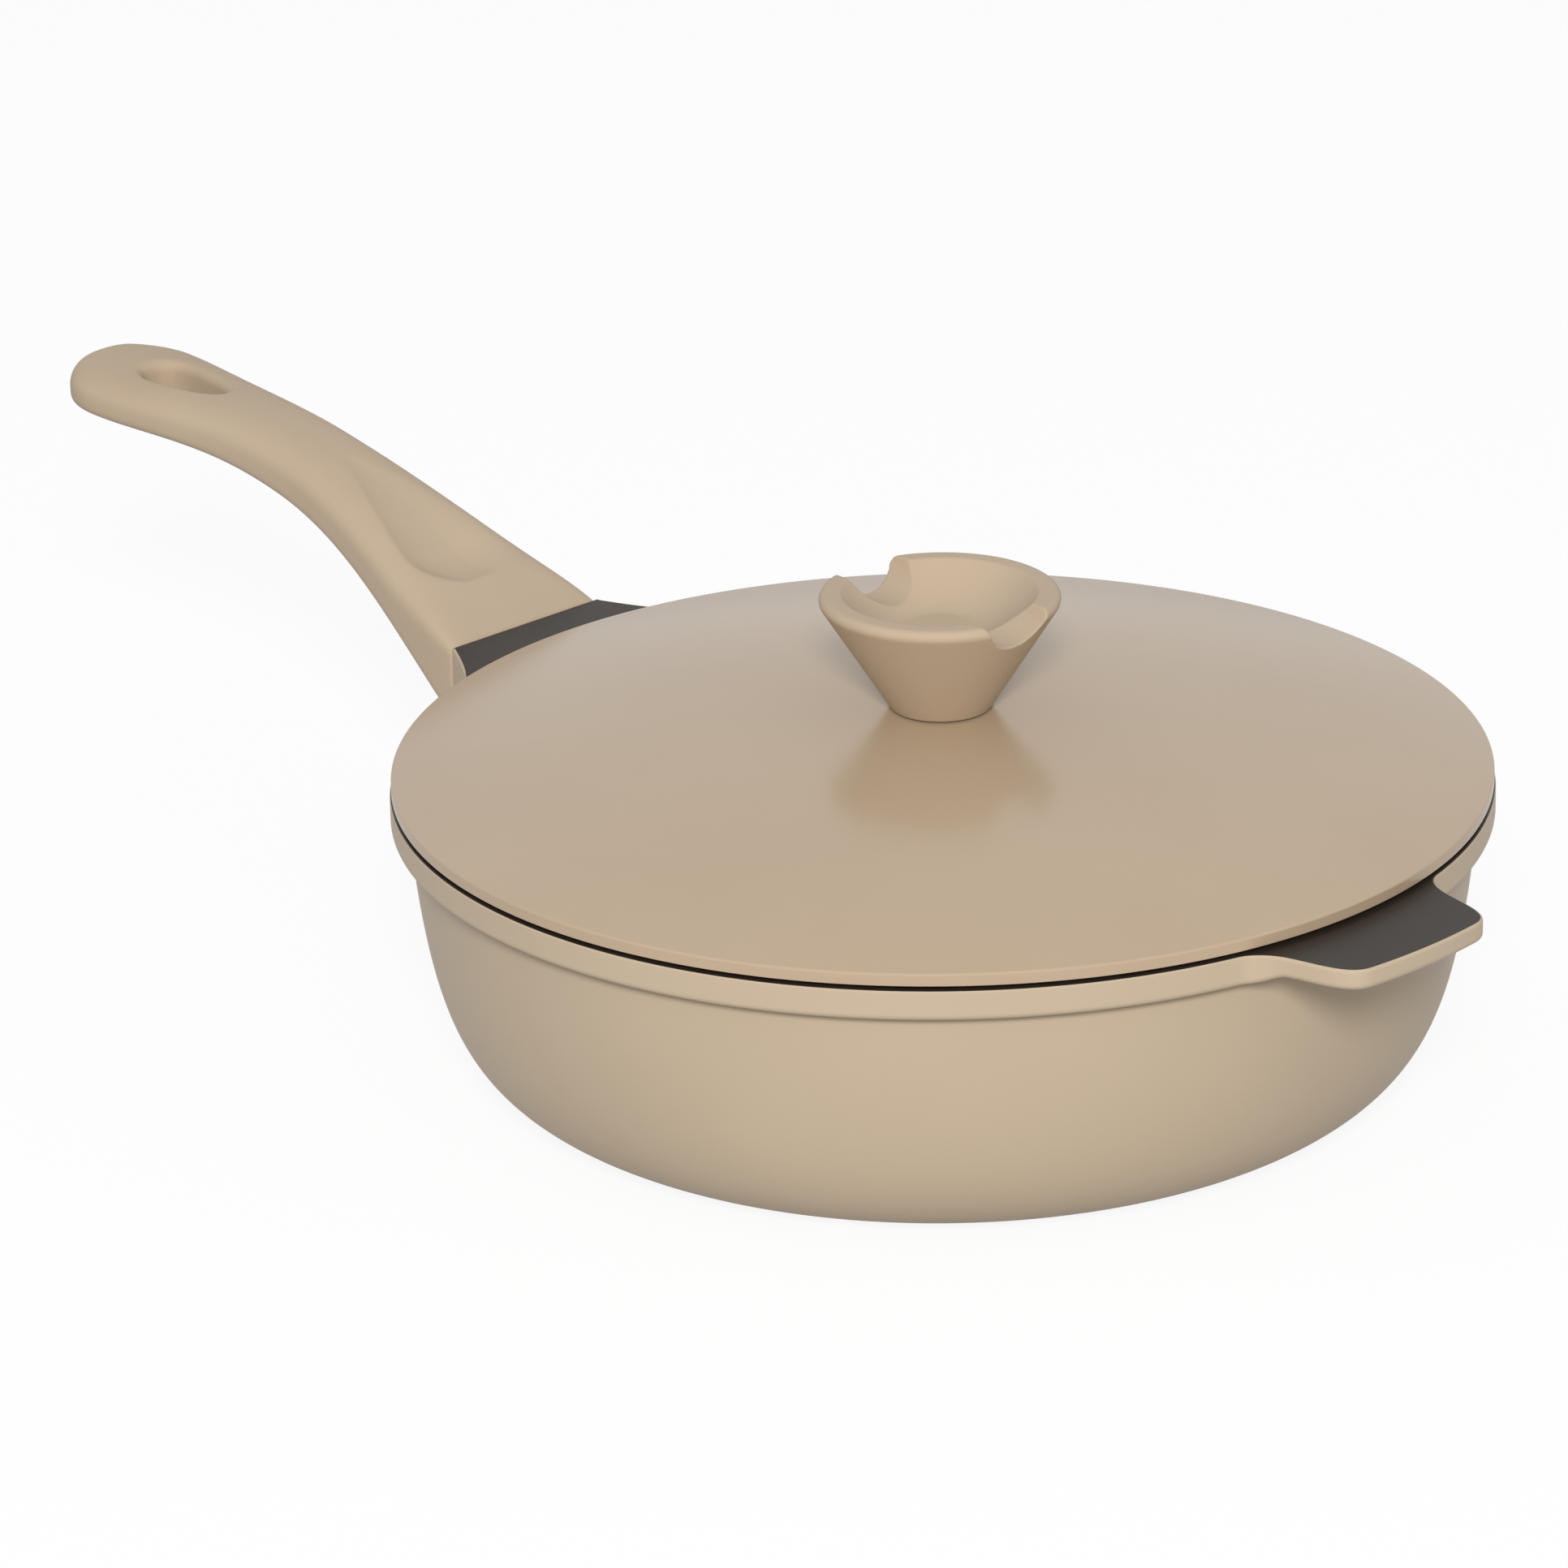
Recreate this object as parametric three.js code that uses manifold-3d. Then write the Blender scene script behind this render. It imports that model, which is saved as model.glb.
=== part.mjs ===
// Saute pan with lid: a cast aluminium pan with a moulded long handle, a helper tab and a domed lid.
// Millimetres, +Z up. The origin is the centre of the base, on the table.
// The long handle points along -X and the helper tab along +X.

import * as THREE from 'three';
import { mergeVertices } from 'three/addons/utils/BufferGeometryUtils.js';
import Module from 'manifold-3d';

const wasm = await Module();
wasm.setup();

// Fits
const SEAT_GAP = 0.3; // between a piece and what it sits on or in
const SKIRT_CLEARANCE = 0.8; // between the lid's skirt and the bowl

// Bowl
const RIM_RADIUS = 140;
const RIM_HEIGHT = 76.5; // top face of the rim above the table
const RIM_BAND = 8; // height of the thick band round the rim
const RIM_OVERHANG = 4.4; // how far the band stands out past the wall
const RIM_CHAMFER = 1.2; // lower edge of the band
const WALL = 4;
const WALL_DRAFT = 4.9; // degrees off upright, just under the band
const WALL_FULLNESS = 0.74; // share of the height over which the wall holds that direction
const BOWL_TAPER = 30; // from the wall under the band in to the foot
const FOOT_SLOPE = 18; // degrees, where the wall meets the foot
const FOOT_FULLNESS = 0.65; // share of the taper over which the wall holds that slope
const FLOOR = 4;

// Base plate, bonded into the underside
const PLATE_THICKNESS = 2.4;
const PLATE_PROUD = 0.6; // how far it stands out under the casting
const PLATE_BORDER = 1.2; // ring of casting left round it
const PLATE_CHAMFER = 0.4;

// Helper tab, cast on the rim
const TAB_LENGTH = 24.2; // past the rim
const TAB_THICKNESS = 5.4;
const TAB_ROOT_WIDTH = 72;
const TAB_TIP_WIDTH = 37.5; // of the outer edge, between its round corners
const TAB_FAIRING = 12; // pull of the curve at both ends of each side

// Lug for the long handle, cast on the rim, with a tongue that enters the handle
const LUG_LENGTH = 17.5; // from the rim to the handle's front
const LUG_THICKNESS = 16;
const LUG_RISE = 1.3; // of its top, from the rim to the handle's front
const LUG_ROOT_WIDTH = 96;
const LUG_INSET = 0.5; // narrower than the handle's front on each side
const LUG_SIDE_ANGLE = 28; // degrees off the handle's axis, where the lug meets the handle
const LUG_ROOT_PULL = 8;
const LUG_FRONT_PULL = 16.5;
const TONGUE_LENGTH = 30;
const TONGUE_WIDTH = 30;
const TONGUE_THICKNESS = 8;
const TONGUE_ROOT = 3; // how deep the tongue is rooted in the lug

// Long handle
const HANDLE_LENGTH = 178;
const HANDLE_STEP = 1.6; // front edge of its top above the rim
const HANDLE_RISE = 39.9; // tip above that edge
const HANDLE_START_SLOPE = 29; // degrees
const HANDLE_END_SLOPE = 5.7; // degrees
const HANDLE_START_FULLNESS = 0.555; // share of the length over which each slope is held
const HANDLE_END_FULLNESS = 0.356;
const HANDLE_FRONT_WIDTH = 52.6;
const HANDLE_WAIST_WIDTH = 29.2;
const HANDLE_TIP_WIDTH = 40.6;
const HANDLE_WAIST_FROM_FRONT = 85;
const HANDLE_TIP_ROUND = 20; // length of the rounded end, seen from above
const HANDLE_NOSE_ROUND = 6; // and seen from the side
const HANDLE_NOSE_DROOP = 1.3; // how far the rounded end bends down
const HANDLE_FRONT_DEPTH = 23.4;
const HANDLE_TIP_DEPTH = 14.2;
const FLARE_BIAS = 0.85; // how early the front flare narrows
const SWELL_BIAS = 1.6; // how late the tip swells
const DEPTH_POWER = 2.2; // how fast the handle gets slimmer
const FRONT_SQUARENESS = 12; // superellipse power of the section at the front
const GRIP_SQUARENESS = 2.5; // and along the grip
const SQUARE_FADE = 10; // length over which the front's squareness falls to a third

// Thumb rest, a shallow oval hollow in the handle's top
const THUMB_FROM_FRONT = 38;
const THUMB_LENGTH = 54;
const THUMB_WIDTH = 29;
const THUMB_DEPTH = 3;
const THUMB_BALL = 9; // half height of the oval ball that hollows it

// Hanging slot
const SLOT_FROM_TIP = 25;
const SLOT_LENGTH = 32;
const SLOT_WIDTH = 10;

// Lid
const LID_INSET = 0.4; // its edge inside the rim's edge
const LID_EDGE = 3.95; // height of its edge
const LID_EDGE_ROUND = 0.7; // chamfer along its top
const LID_EDGE_LIFT = 0.6; // underside of the edge above the seat
const LID_EDGE_REACH = 2.4; // of that underside, in to the seat
const LID_RISE = 14.55; // of the dome above that edge
const LID_THICKNESS = 2.6;
const LID_PAD_BORDER = 2.5; // flat ring left round the knob's foot
const SKIRT_DEPTH = 6; // below the lid's seat
const SKIRT_THICKNESS = 2.4;

// Knob, a flared cone with a dish and a spoon groove on top
const KNOB_FOOT_RADIUS = 13.5;
const KNOB_RADIUS = 30.6;
const KNOB_HEIGHT = 29.4;
const KNOB_LIP = 5.6; // width of its lip
const KNOB_LIP_ROUND = 2.4;
const DISH_DEPTH = 9.5;
const DISH_SLOPE_RUN = 14.5; // how far the dish's wall leans in
const GROOVE_RADIUS = 10.6;
const GROOVE_DEPTH = 7.6;

// Fasteners and seal
const SCREW_RADIUS = 2.5;
const SCREW_HEAD_RADIUS = 4.8;
const SCREW_HEAD_HEIGHT = 2.6;
const SCREW_HEAD_CHAMFER = 0.6;
const HANDLE_SCREW_FROM_FRONT = 15;
const HANDLE_SEAT_WALL = 2; // grip left between the tongue and the washer
const HANDLE_WASHER_RADIUS = 5;
const HANDLE_WASHER_THICKNESS = 0.8;
const HANDLE_SCREW_END_WALL = 1; // tongue left above the screw's end
const KNOB_WASHER_RADIUS = 7;
const KNOB_WASHER_THICKNESS = 1;
const INSERT_RADIUS = 5;
const INSERT_LENGTH = 12;
const KNOB_SCREW_END_GAP = 2; // from the screw's end to the insert's top
const GASKET_THICKNESS = 0.8;
const GASKET_BORDER = 1.5; // rim of the knob's foot left round it

// Facets
const ROUND_SEGMENTS = 64; // round the pan and the lid
const KNOB_SEGMENTS = 40;
const FASTENER_SEGMENTS = 20;
const CURVE_STEPS = 7; // along each curved stretch of a profile
const PLAN_STEPS = 10; // along each curved stretch of a plan outline
const HANDLE_STATIONS = 26;
const HANDLE_SECTION_POINTS = 28;

// Levels and radii that follow
const wallRadius = RIM_RADIUS - RIM_OVERHANG;
const boreRadius = wallRadius - WALL;
const footRadius = wallRadius - BOWL_TAPER;
const bandFloor = RIM_HEIGHT - RIM_BAND;
const plateRadius = footRadius - PLATE_BORDER;
const recessCeiling = PLATE_THICKNESS + SEAT_GAP;
const panFloor = recessCeiling + FLOOR;
const joinRadius = wallRadius - WALL / 2; // inside the wall, where the tab and the lug grow out of it
const handleFront = -(RIM_RADIUS + LUG_LENGTH);
const handleTop = RIM_HEIGHT + HANDLE_STEP;
const handleMiddle = handleTop - HANDLE_FRONT_DEPTH / 2;
const tongueAngle = THREE.MathUtils.degToRad(HANDLE_START_SLOPE);
const screwHole = SCREW_RADIUS + SEAT_GAP;
const washerSeat = -(TONGUE_THICKNESS / 2 + SEAT_GAP + HANDLE_SEAT_WALL); // below the tongue's middle
const lidSeat = RIM_HEIGHT + SEAT_GAP;
const lidRadius = RIM_RADIUS - LID_INSET;
const lidEdgeTop = lidSeat + LID_EDGE;
const lidPad = lidEdgeTop + LID_RISE;
const padRadius = KNOB_FOOT_RADIUS + LID_PAD_BORDER;
const gasketFloor = lidPad + SEAT_GAP;
const knobFoot = gasketFloor + GASKET_THICKNESS + SEAT_GAP;
const knobTop = knobFoot + KNOB_HEIGHT;
const gasketRadius = KNOB_FOOT_RADIUS - GASKET_BORDER;

const coat = { color: 0xbca88f, roughness: 0.42, metalness: 0.1 };
const softTouch = { color: 0xc2ab90, roughness: 0.6, metalness: 0 };
const steel = { color: 0xb8b8b4, roughness: 0.35, metalness: 0.9 };
const brass = { color: 0xb8954f, roughness: 0.4, metalness: 0.9 };
const silicone = { color: 0x3a332d, roughness: 0.8, metalness: 0 };

// A closed mesh with shared corners merged and collapsed triangles left out
function welded(geometry) {
  const bare = new THREE.BufferGeometry();
  bare.setAttribute('position', geometry.getAttribute('position'));
  bare.setIndex(geometry.getIndex());
  const merged = mergeVertices(bare);
  const corners = merged.getIndex().array;
  const kept = [];
  for (let i = 0; i < corners.length; i += 3) {
    const [a, b, c] = corners.slice(i, i + 3);
    if (a !== b && b !== c && c !== a) kept.push(a, b, c);
  }
  merged.setIndex(kept);
  return merged;
}

function solid(geometry) {
  const closed = welded(geometry);
  const vertProperties = new Float32Array(closed.getAttribute('position').array);
  const triVerts = new Uint32Array(closed.getIndex().array);
  return new wasm.Manifold(new wasm.Mesh({ numProp: 3, vertProperties, triVerts }));
}

function surface(manifold) {
  const { vertProperties, triVerts } = manifold.getMesh();
  const geometry = new THREE.BufferGeometry();
  geometry.setAttribute('position', new THREE.BufferAttribute(vertProperties, 3));
  geometry.setIndex(new THREE.BufferAttribute(triVerts, 1));
  return geometry;
}

function piece(name, geometry, look) {
  geometry.computeVertexNormals();
  const mesh = new THREE.Mesh(geometry, new THREE.MeshStandardMaterial(look));
  mesh.name = name;
  return mesh;
}

// A profile of radius and height, turned round the Z axis
function turned(profile, segments) {
  const geometry = new THREE.LatheGeometry(profile.getPoints(CURVE_STEPS), segments);
  return welded(geometry.rotateX(Math.PI / 2));
}

function ring(innerRadius, outerRadius, floor, ceiling) {
  const profile = new THREE.Path();
  profile.moveTo(innerRadius, floor);
  profile.lineTo(outerRadius, floor);
  profile.lineTo(outerRadius, ceiling);
  profile.lineTo(innerRadius, ceiling);
  profile.lineTo(innerRadius, floor);
  return turned(profile, FASTENER_SEGMENTS);
}

function rod(radius, floor, ceiling) {
  const length = ceiling - floor;
  const geometry = new THREE.CylinderGeometry(radius, radius, length, FASTENER_SEGMENTS);
  return geometry.rotateX(Math.PI / 2).translate(0, 0, floor + length / 2);
}

function slab(outline, floor, ceiling) {
  const geometry = new THREE.ExtrudeGeometry(outline, {
    depth: ceiling - floor,
    bevelEnabled: false,
    curveSegments: PLAN_STEPS,
  });
  return geometry.translate(0, 0, floor);
}

// A screw along Z with its head downwards: head from headFloor, shank up to end
function screw(headFloor, end) {
  const shoulder = headFloor + SCREW_HEAD_HEIGHT;
  const profile = new THREE.Path();
  profile.moveTo(0, headFloor);
  profile.lineTo(SCREW_HEAD_RADIUS - SCREW_HEAD_CHAMFER, headFloor);
  profile.lineTo(SCREW_HEAD_RADIUS, headFloor + SCREW_HEAD_CHAMFER);
  profile.lineTo(SCREW_HEAD_RADIUS, shoulder);
  profile.lineTo(SCREW_RADIUS, shoulder);
  profile.lineTo(SCREW_RADIUS, end);
  profile.lineTo(0, end);
  return turned(profile, FASTENER_SEGMENTS);
}

function polar(radius, angle) {
  return new THREE.Vector2(radius * Math.cos(angle), radius * Math.sin(angle));
}

function smooth(share) {
  return THREE.MathUtils.smoothstep(share, 0, 1);
}

// The bowl's wall, from just under the band down to the foot; inset moves it inwards
function wallCurve(inset, foot) {
  const top = new THREE.Vector2(wallRadius - inset, bandFloor);
  const end = new THREE.Vector2(footRadius - inset, foot);
  const hold = (bandFloor - foot) * WALL_FULLNESS;
  const draft = -Math.PI / 2 - THREE.MathUtils.degToRad(WALL_DRAFT);
  const spread = BOWL_TAPER * FOOT_FULLNESS;
  const slope = THREE.MathUtils.degToRad(FOOT_SLOPE);
  return [top, polar(hold, draft).add(top), polar(spread, slope).add(end), end];
}

function bowl() {
  const [outerTop, outerHold, outerSpread, outerFoot] = wallCurve(0, PLATE_PROUD);
  const [innerTop, innerHold, innerSpread, innerFoot] = wallCurve(WALL, panFloor);
  const profile = new THREE.Path();
  profile.moveTo(0, recessCeiling);
  profile.lineTo(plateRadius + SEAT_GAP, recessCeiling);
  profile.lineTo(plateRadius + SEAT_GAP, PLATE_PROUD);
  profile.lineTo(outerFoot.x, outerFoot.y);
  profile.bezierCurveTo(outerSpread.x, outerSpread.y, outerHold.x, outerHold.y, outerTop.x, outerTop.y);
  profile.lineTo(RIM_RADIUS - RIM_CHAMFER, bandFloor);
  profile.lineTo(RIM_RADIUS, bandFloor + RIM_CHAMFER);
  profile.lineTo(RIM_RADIUS, RIM_HEIGHT);
  profile.lineTo(boreRadius, RIM_HEIGHT);
  profile.lineTo(innerTop.x, innerTop.y);
  profile.bezierCurveTo(innerHold.x, innerHold.y, innerSpread.x, innerSpread.y, innerFoot.x, innerFoot.y);
  profile.lineTo(0, panFloor);
  return turned(profile, ROUND_SEGMENTS);
}

function helperTab() {
  const reach = RIM_RADIUS + TAB_LENGTH;
  const rootAngle = Math.asin(TAB_ROOT_WIDTH / 2 / RIM_RADIUS);
  const tipAngle = Math.asin(TAB_TIP_WIDTH / 2 / reach);
  const outline = new THREE.Shape();
  const root = polar(RIM_RADIUS, rootAngle);
  const tip = polar(reach, tipAngle);
  const rootPull = polar(TAB_FAIRING, rootAngle - Math.PI / 2).add(root);
  const tipPull = polar(TAB_FAIRING, tipAngle + Math.PI / 2).add(tip);
  outline.moveTo(root.x, -root.y);
  outline.bezierCurveTo(rootPull.x, -rootPull.y, tipPull.x, -tipPull.y, tip.x, -tip.y);
  outline.absarc(0, 0, reach, -tipAngle, tipAngle, false);
  outline.bezierCurveTo(tipPull.x, tipPull.y, rootPull.x, rootPull.y, root.x, root.y);
  outline.absarc(0, 0, joinRadius, rootAngle, -rootAngle, true);
  return slab(outline, RIM_HEIGHT - TAB_THICKNESS, RIM_HEIGHT);
}

// Drawn along +X, then turned to the handle's side
function handleLug() {
  const front = new THREE.Vector2(-handleFront - SEAT_GAP, HANDLE_FRONT_WIDTH / 2 - LUG_INSET);
  const rootAngle = Math.asin(LUG_ROOT_WIDTH / 2 / RIM_RADIUS);
  const root = polar(RIM_RADIUS, rootAngle);
  const rootPull = polar(LUG_ROOT_PULL, rootAngle - Math.PI / 2).add(root);
  const backwards = Math.PI - THREE.MathUtils.degToRad(LUG_SIDE_ANGLE);
  const frontPull = polar(LUG_FRONT_PULL, backwards).add(front);
  const outline = new THREE.Shape();
  outline.moveTo(root.x, -root.y);
  outline.bezierCurveTo(rootPull.x, -rootPull.y, frontPull.x, -frontPull.y, front.x, -front.y);
  outline.lineTo(front.x, front.y);
  outline.bezierCurveTo(frontPull.x, frontPull.y, rootPull.x, rootPull.y, root.x, root.y);
  outline.absarc(0, 0, joinRadius, rootAngle, -rootAngle, true);
  const block = slab(outline, RIM_HEIGHT - LUG_THICKNESS, RIM_HEIGHT + LUG_RISE);
  return solid(block).subtract(solid(aboveLug(front.x))).rotate([0, 0, 180]);
}

// What is cut off above the lug: level over the rim, then a slope up to the handle's front
function aboveLug(front) {
  const outline = new THREE.Shape();
  outline.moveTo(0, RIM_HEIGHT);
  outline.lineTo(RIM_RADIUS, RIM_HEIGHT);
  outline.lineTo(front, RIM_HEIGHT + LUG_RISE);
  outline.lineTo(front, RIM_HEIGHT + 2 * LUG_RISE);
  outline.lineTo(0, RIM_HEIGHT + 2 * LUG_RISE);
  return slab(outline, -LUG_ROOT_WIDTH, LUG_ROOT_WIDTH).rotateX(Math.PI / 2);
}

// The tongue's own frame: -X into the handle along its slope, Z across its thickness
function tongueFrame() {
  return new THREE.Matrix4().makeRotationY(tongueAngle).setPosition(handleFront, 0, handleMiddle);
}

function tongueBlock(growth) {
  const length = TONGUE_ROOT + TONGUE_LENGTH + growth;
  const geometry = new THREE.BoxGeometry(length, TONGUE_WIDTH + 2 * growth, TONGUE_THICKNESS + 2 * growth);
  return geometry.translate(TONGUE_ROOT - length / 2, 0, 0).applyMatrix4(tongueFrame());
}

// Along the handle screw's axis, from one distance to another off the tongue's middle
function screwCut(radius, from, to) {
  return rod(radius, from, to).translate(-HANDLE_SCREW_FROM_FRONT, 0, 0).applyMatrix4(tongueFrame());
}

function panBody() {
  const tapped = screwCut(screwHole, -TONGUE_THICKNESS, TONGUE_THICKNESS);
  const casting = solid(bowl()).add(solid(helperTab())).add(handleLug());
  const body = casting.add(solid(tongueBlock(0))).subtract(solid(tapped));
  return piece('pan_body', surface(body), coat);
}

function basePlate() {
  const profile = new THREE.Path();
  profile.moveTo(0, 0);
  profile.lineTo(plateRadius - PLATE_CHAMFER, 0);
  profile.lineTo(plateRadius, PLATE_CHAMFER);
  profile.lineTo(plateRadius, PLATE_THICKNESS);
  profile.lineTo(0, PLATE_THICKNESS);
  return piece('base_plate', turned(profile, ROUND_SEGMENTS), steel);
}

// Top line of the handle: distance from its front, and height
function handleTopLine() {
  const start = new THREE.Vector2(0, handleTop);
  const end = new THREE.Vector2(HANDLE_LENGTH, handleTop + HANDLE_RISE);
  const startSlope = THREE.MathUtils.degToRad(HANDLE_START_SLOPE);
  const endSlope = THREE.MathUtils.degToRad(HANDLE_END_SLOPE);
  const startPull = polar(HANDLE_LENGTH * HANDLE_START_FULLNESS, startSlope).add(start);
  const endPull = polar(HANDLE_LENGTH * HANDLE_END_FULLNESS, Math.PI + endSlope).add(end);
  return new THREE.CubicBezierCurve(start, startPull, endPull, end);
}

// Half width of the handle at a distance from its front: flare, waist, swell and round end
function handleHalfWidth(distance) {
  const endStart = HANDLE_LENGTH - HANDLE_TIP_ROUND;
  const flare = Math.min(distance / HANDLE_WAIST_FROM_FRONT, 1) ** FLARE_BIAS;
  const pastWaist = Math.max(distance - HANDLE_WAIST_FROM_FRONT, 0);
  const swell = Math.min(pastWaist / (endStart - HANDLE_WAIST_FROM_FRONT), 1) ** SWELL_BIAS;
  const narrowed = THREE.MathUtils.lerp(HANDLE_FRONT_WIDTH, HANDLE_WAIST_WIDTH, smooth(flare));
  const width = narrowed + (HANDLE_TIP_WIDTH - HANDLE_WAIST_WIDTH) * smooth(swell);
  const end = Math.max(distance - endStart, 0) / HANDLE_TIP_ROUND;
  return (width / 2) * Math.sqrt(Math.max(1 - end * end, 0));
}

function handleDepth(distance) {
  const left = 1 - distance / HANDLE_LENGTH;
  return HANDLE_TIP_DEPTH + (HANDLE_FRONT_DEPTH - HANDLE_TIP_DEPTH) * left ** DEPTH_POWER;
}

// Middle height of a section: half a depth below the top line, bent down along the rounded end
function handleSpine(top) {
  const end = Math.max(top.x - HANDLE_LENGTH + HANDLE_TIP_ROUND, 0) / HANDLE_TIP_ROUND;
  return top.y - handleDepth(top.x) / 2 - HANDLE_NOSE_DROOP * end * end;
}

// One section: points of a superellipse in a plane across X
function handleSection(line, share) {
  const top = line.getPoint(share);
  const front = Math.exp(-top.x / SQUARE_FADE);
  const power = 2 / THREE.MathUtils.lerp(GRIP_SQUARENESS, FRONT_SQUARENESS, front);
  const nose = Math.max(top.x - HANDLE_LENGTH + HANDLE_NOSE_ROUND, 0) / HANDLE_NOSE_ROUND;
  const halfDepth = (handleDepth(top.x) / 2) * Math.sqrt(Math.max(1 - nose * nose, 0));
  const halfWidth = handleHalfWidth(top.x);
  const bent = (value) => Math.sign(value) * Math.abs(value) ** power;
  const points = [];
  for (let i = 0; i < HANDLE_SECTION_POINTS; i += 1) {
    const angle = (2 * Math.PI * (i + 0.5)) / HANDLE_SECTION_POINTS;
    const y = halfWidth * bent(Math.cos(angle));
    const z = handleSpine(top) + halfDepth * bent(Math.sin(angle));
    points.push(new THREE.Vector3(handleFront - top.x, y, z));
  }
  return points;
}

// The handle's outer form: sections from the front to the tip, closed by a fan at each end
function handleForm() {
  const line = handleTopLine();
  const count = HANDLE_SECTION_POINTS;
  const points = [];
  for (let i = 0; i < HANDLE_STATIONS; i += 1) {
    const share = (1 - Math.cos((Math.PI * i) / HANDLE_STATIONS)) / 2;
    points.push(...handleSection(line, share));
  }
  const frontCentre = points.length;
  const tipCentre = frontCentre + 1;
  const tip = line.getPoint(1);
  points.push(new THREE.Vector3(handleFront, 0, handleMiddle));
  points.push(new THREE.Vector3(handleFront - tip.x, 0, handleSpine(tip)));
  const corners = [];
  for (let j = 0; j < count; j += 1) {
    const next = (j + 1) % count;
    const lastRing = (HANDLE_STATIONS - 1) * count;
    corners.push(frontCentre, j, next);
    corners.push(tipCentre, lastRing + next, lastRing + j);
    for (let i = 0; i < HANDLE_STATIONS - 1; i += 1) {
      const here = i * count;
      const there = here + count;
      corners.push(here + j, there + j, there + next);
      corners.push(here + j, there + next, here + next);
    }
  }
  const geometry = new THREE.BufferGeometry().setFromPoints(points);
  geometry.setIndex(corners);
  return geometry;
}

function shareAt(line, distance) {
  let low = 0;
  let high = 1;
  while (high - low > 1e-6) {
    const middle = (low + high) / 2;
    if (line.getPoint(middle).x < distance) low = middle;
    else high = middle;
  }
  return low;
}

// An oval ball that dips into the handle's top by the thumb rest's depth
function thumbBall() {
  const line = handleTopLine();
  const share = shareAt(line, THUMB_FROM_FRONT);
  const place = line.getPoint(share);
  const slope = line.getTangent(share).angle();
  const lift = THUMB_BALL - THUMB_DEPTH;
  const spread = Math.sqrt(1 - (lift / THUMB_BALL) ** 2);
  const ball = new THREE.SphereGeometry(1, 28, 18);
  ball.scale(THUMB_LENGTH / 2 / spread, THUMB_WIDTH / 2 / spread, THUMB_BALL);
  ball.translate(0, 0, lift).rotateY(slope);
  return ball.translate(handleFront - place.x, 0, place.y);
}

// The hanging slot, two round ends joined by straight sides, cut straight down
function hangingSlot() {
  const radius = SLOT_WIDTH / 2;
  const reach = SLOT_LENGTH / 2 - radius;
  const outline = new THREE.Shape();
  outline.absarc(reach, 0, radius, -Math.PI / 2, Math.PI / 2, false);
  outline.absarc(-reach, 0, radius, Math.PI / 2, (3 * Math.PI) / 2, false);
  const centre = handleFront - HANDLE_LENGTH + SLOT_FROM_TIP + SLOT_LENGTH / 2;
  const floor = handleTop - HANDLE_FRONT_DEPTH;
  const ceiling = handleTop + HANDLE_RISE + HANDLE_TIP_DEPTH;
  return slab(outline, floor, ceiling).translate(centre, 0, 0);
}

function handleGrip() {
  const form = solid(handleForm());
  const socket = solid(tongueBlock(SEAT_GAP));
  const below = washerSeat - HANDLE_FRONT_DEPTH;
  const shankHole = solid(screwCut(screwHole, below, 0));
  const headHole = solid(screwCut(HANDLE_WASHER_RADIUS + SEAT_GAP, below, washerSeat));
  const hollowed = form.subtract(socket).subtract(shankHole).subtract(headHole);
  const grip = hollowed.subtract(solid(thumbBall())).subtract(solid(hangingSlot()));
  return piece('handle_grip', surface(grip), softTouch);
}

// Screw and washer that hold the grip, placed in the tongue's frame
function handleFasteners() {
  const washerTop = washerSeat - SEAT_GAP;
  const washerFloor = washerTop - HANDLE_WASHER_THICKNESS;
  const headFloor = washerFloor - SEAT_GAP - SCREW_HEAD_HEIGHT;
  const end = TONGUE_THICKNESS / 2 - HANDLE_SCREW_END_WALL;
  const frame = new THREE.Group();
  frame.applyMatrix4(tongueFrame());
  const axis = new THREE.Group();
  axis.position.x = -HANDLE_SCREW_FROM_FRONT;
  axis.add(piece('handle_screw', screw(headFloor, end), steel));
  axis.add(piece('handle_washer', ring(screwHole, HANDLE_WASHER_RADIUS, washerFloor, washerTop), steel));
  frame.add(axis);
  return frame;
}

function lidPlate() {
  const domeEnd = lidRadius - LID_EDGE_ROUND;
  const skirtOuter = boreRadius - SKIRT_CLEARANCE;
  const skirtInner = skirtOuter - SKIRT_THICKNESS;
  const fall = LID_RISE * ((skirtInner - padRadius) / (domeEnd - padRadius)) ** 2;
  const ceiling = lidPad - LID_THICKNESS;
  const hole = screwHole;
  const profile = new THREE.Path();
  profile.moveTo(hole, ceiling);
  profile.lineTo(padRadius, ceiling);
  profile.quadraticCurveTo((padRadius + skirtInner) / 2, ceiling, skirtInner, ceiling - fall);
  profile.lineTo(skirtInner, lidSeat - SKIRT_DEPTH);
  profile.lineTo(skirtOuter, lidSeat - SKIRT_DEPTH);
  profile.lineTo(skirtOuter, lidSeat);
  profile.lineTo(lidRadius - LID_EDGE_REACH, lidSeat);
  profile.lineTo(lidRadius - LID_EDGE_REACH, lidSeat + LID_EDGE_LIFT);
  profile.lineTo(lidRadius, lidSeat + LID_EDGE_LIFT);
  profile.lineTo(lidRadius, lidEdgeTop - LID_EDGE_ROUND);
  profile.lineTo(domeEnd, lidEdgeTop);
  profile.quadraticCurveTo((padRadius + domeEnd) / 2, lidPad, padRadius, lidPad);
  profile.lineTo(hole, lidPad);
  profile.lineTo(hole, ceiling);
  return piece('lid_plate', turned(profile, ROUND_SEGMENTS), coat);
}

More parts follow.
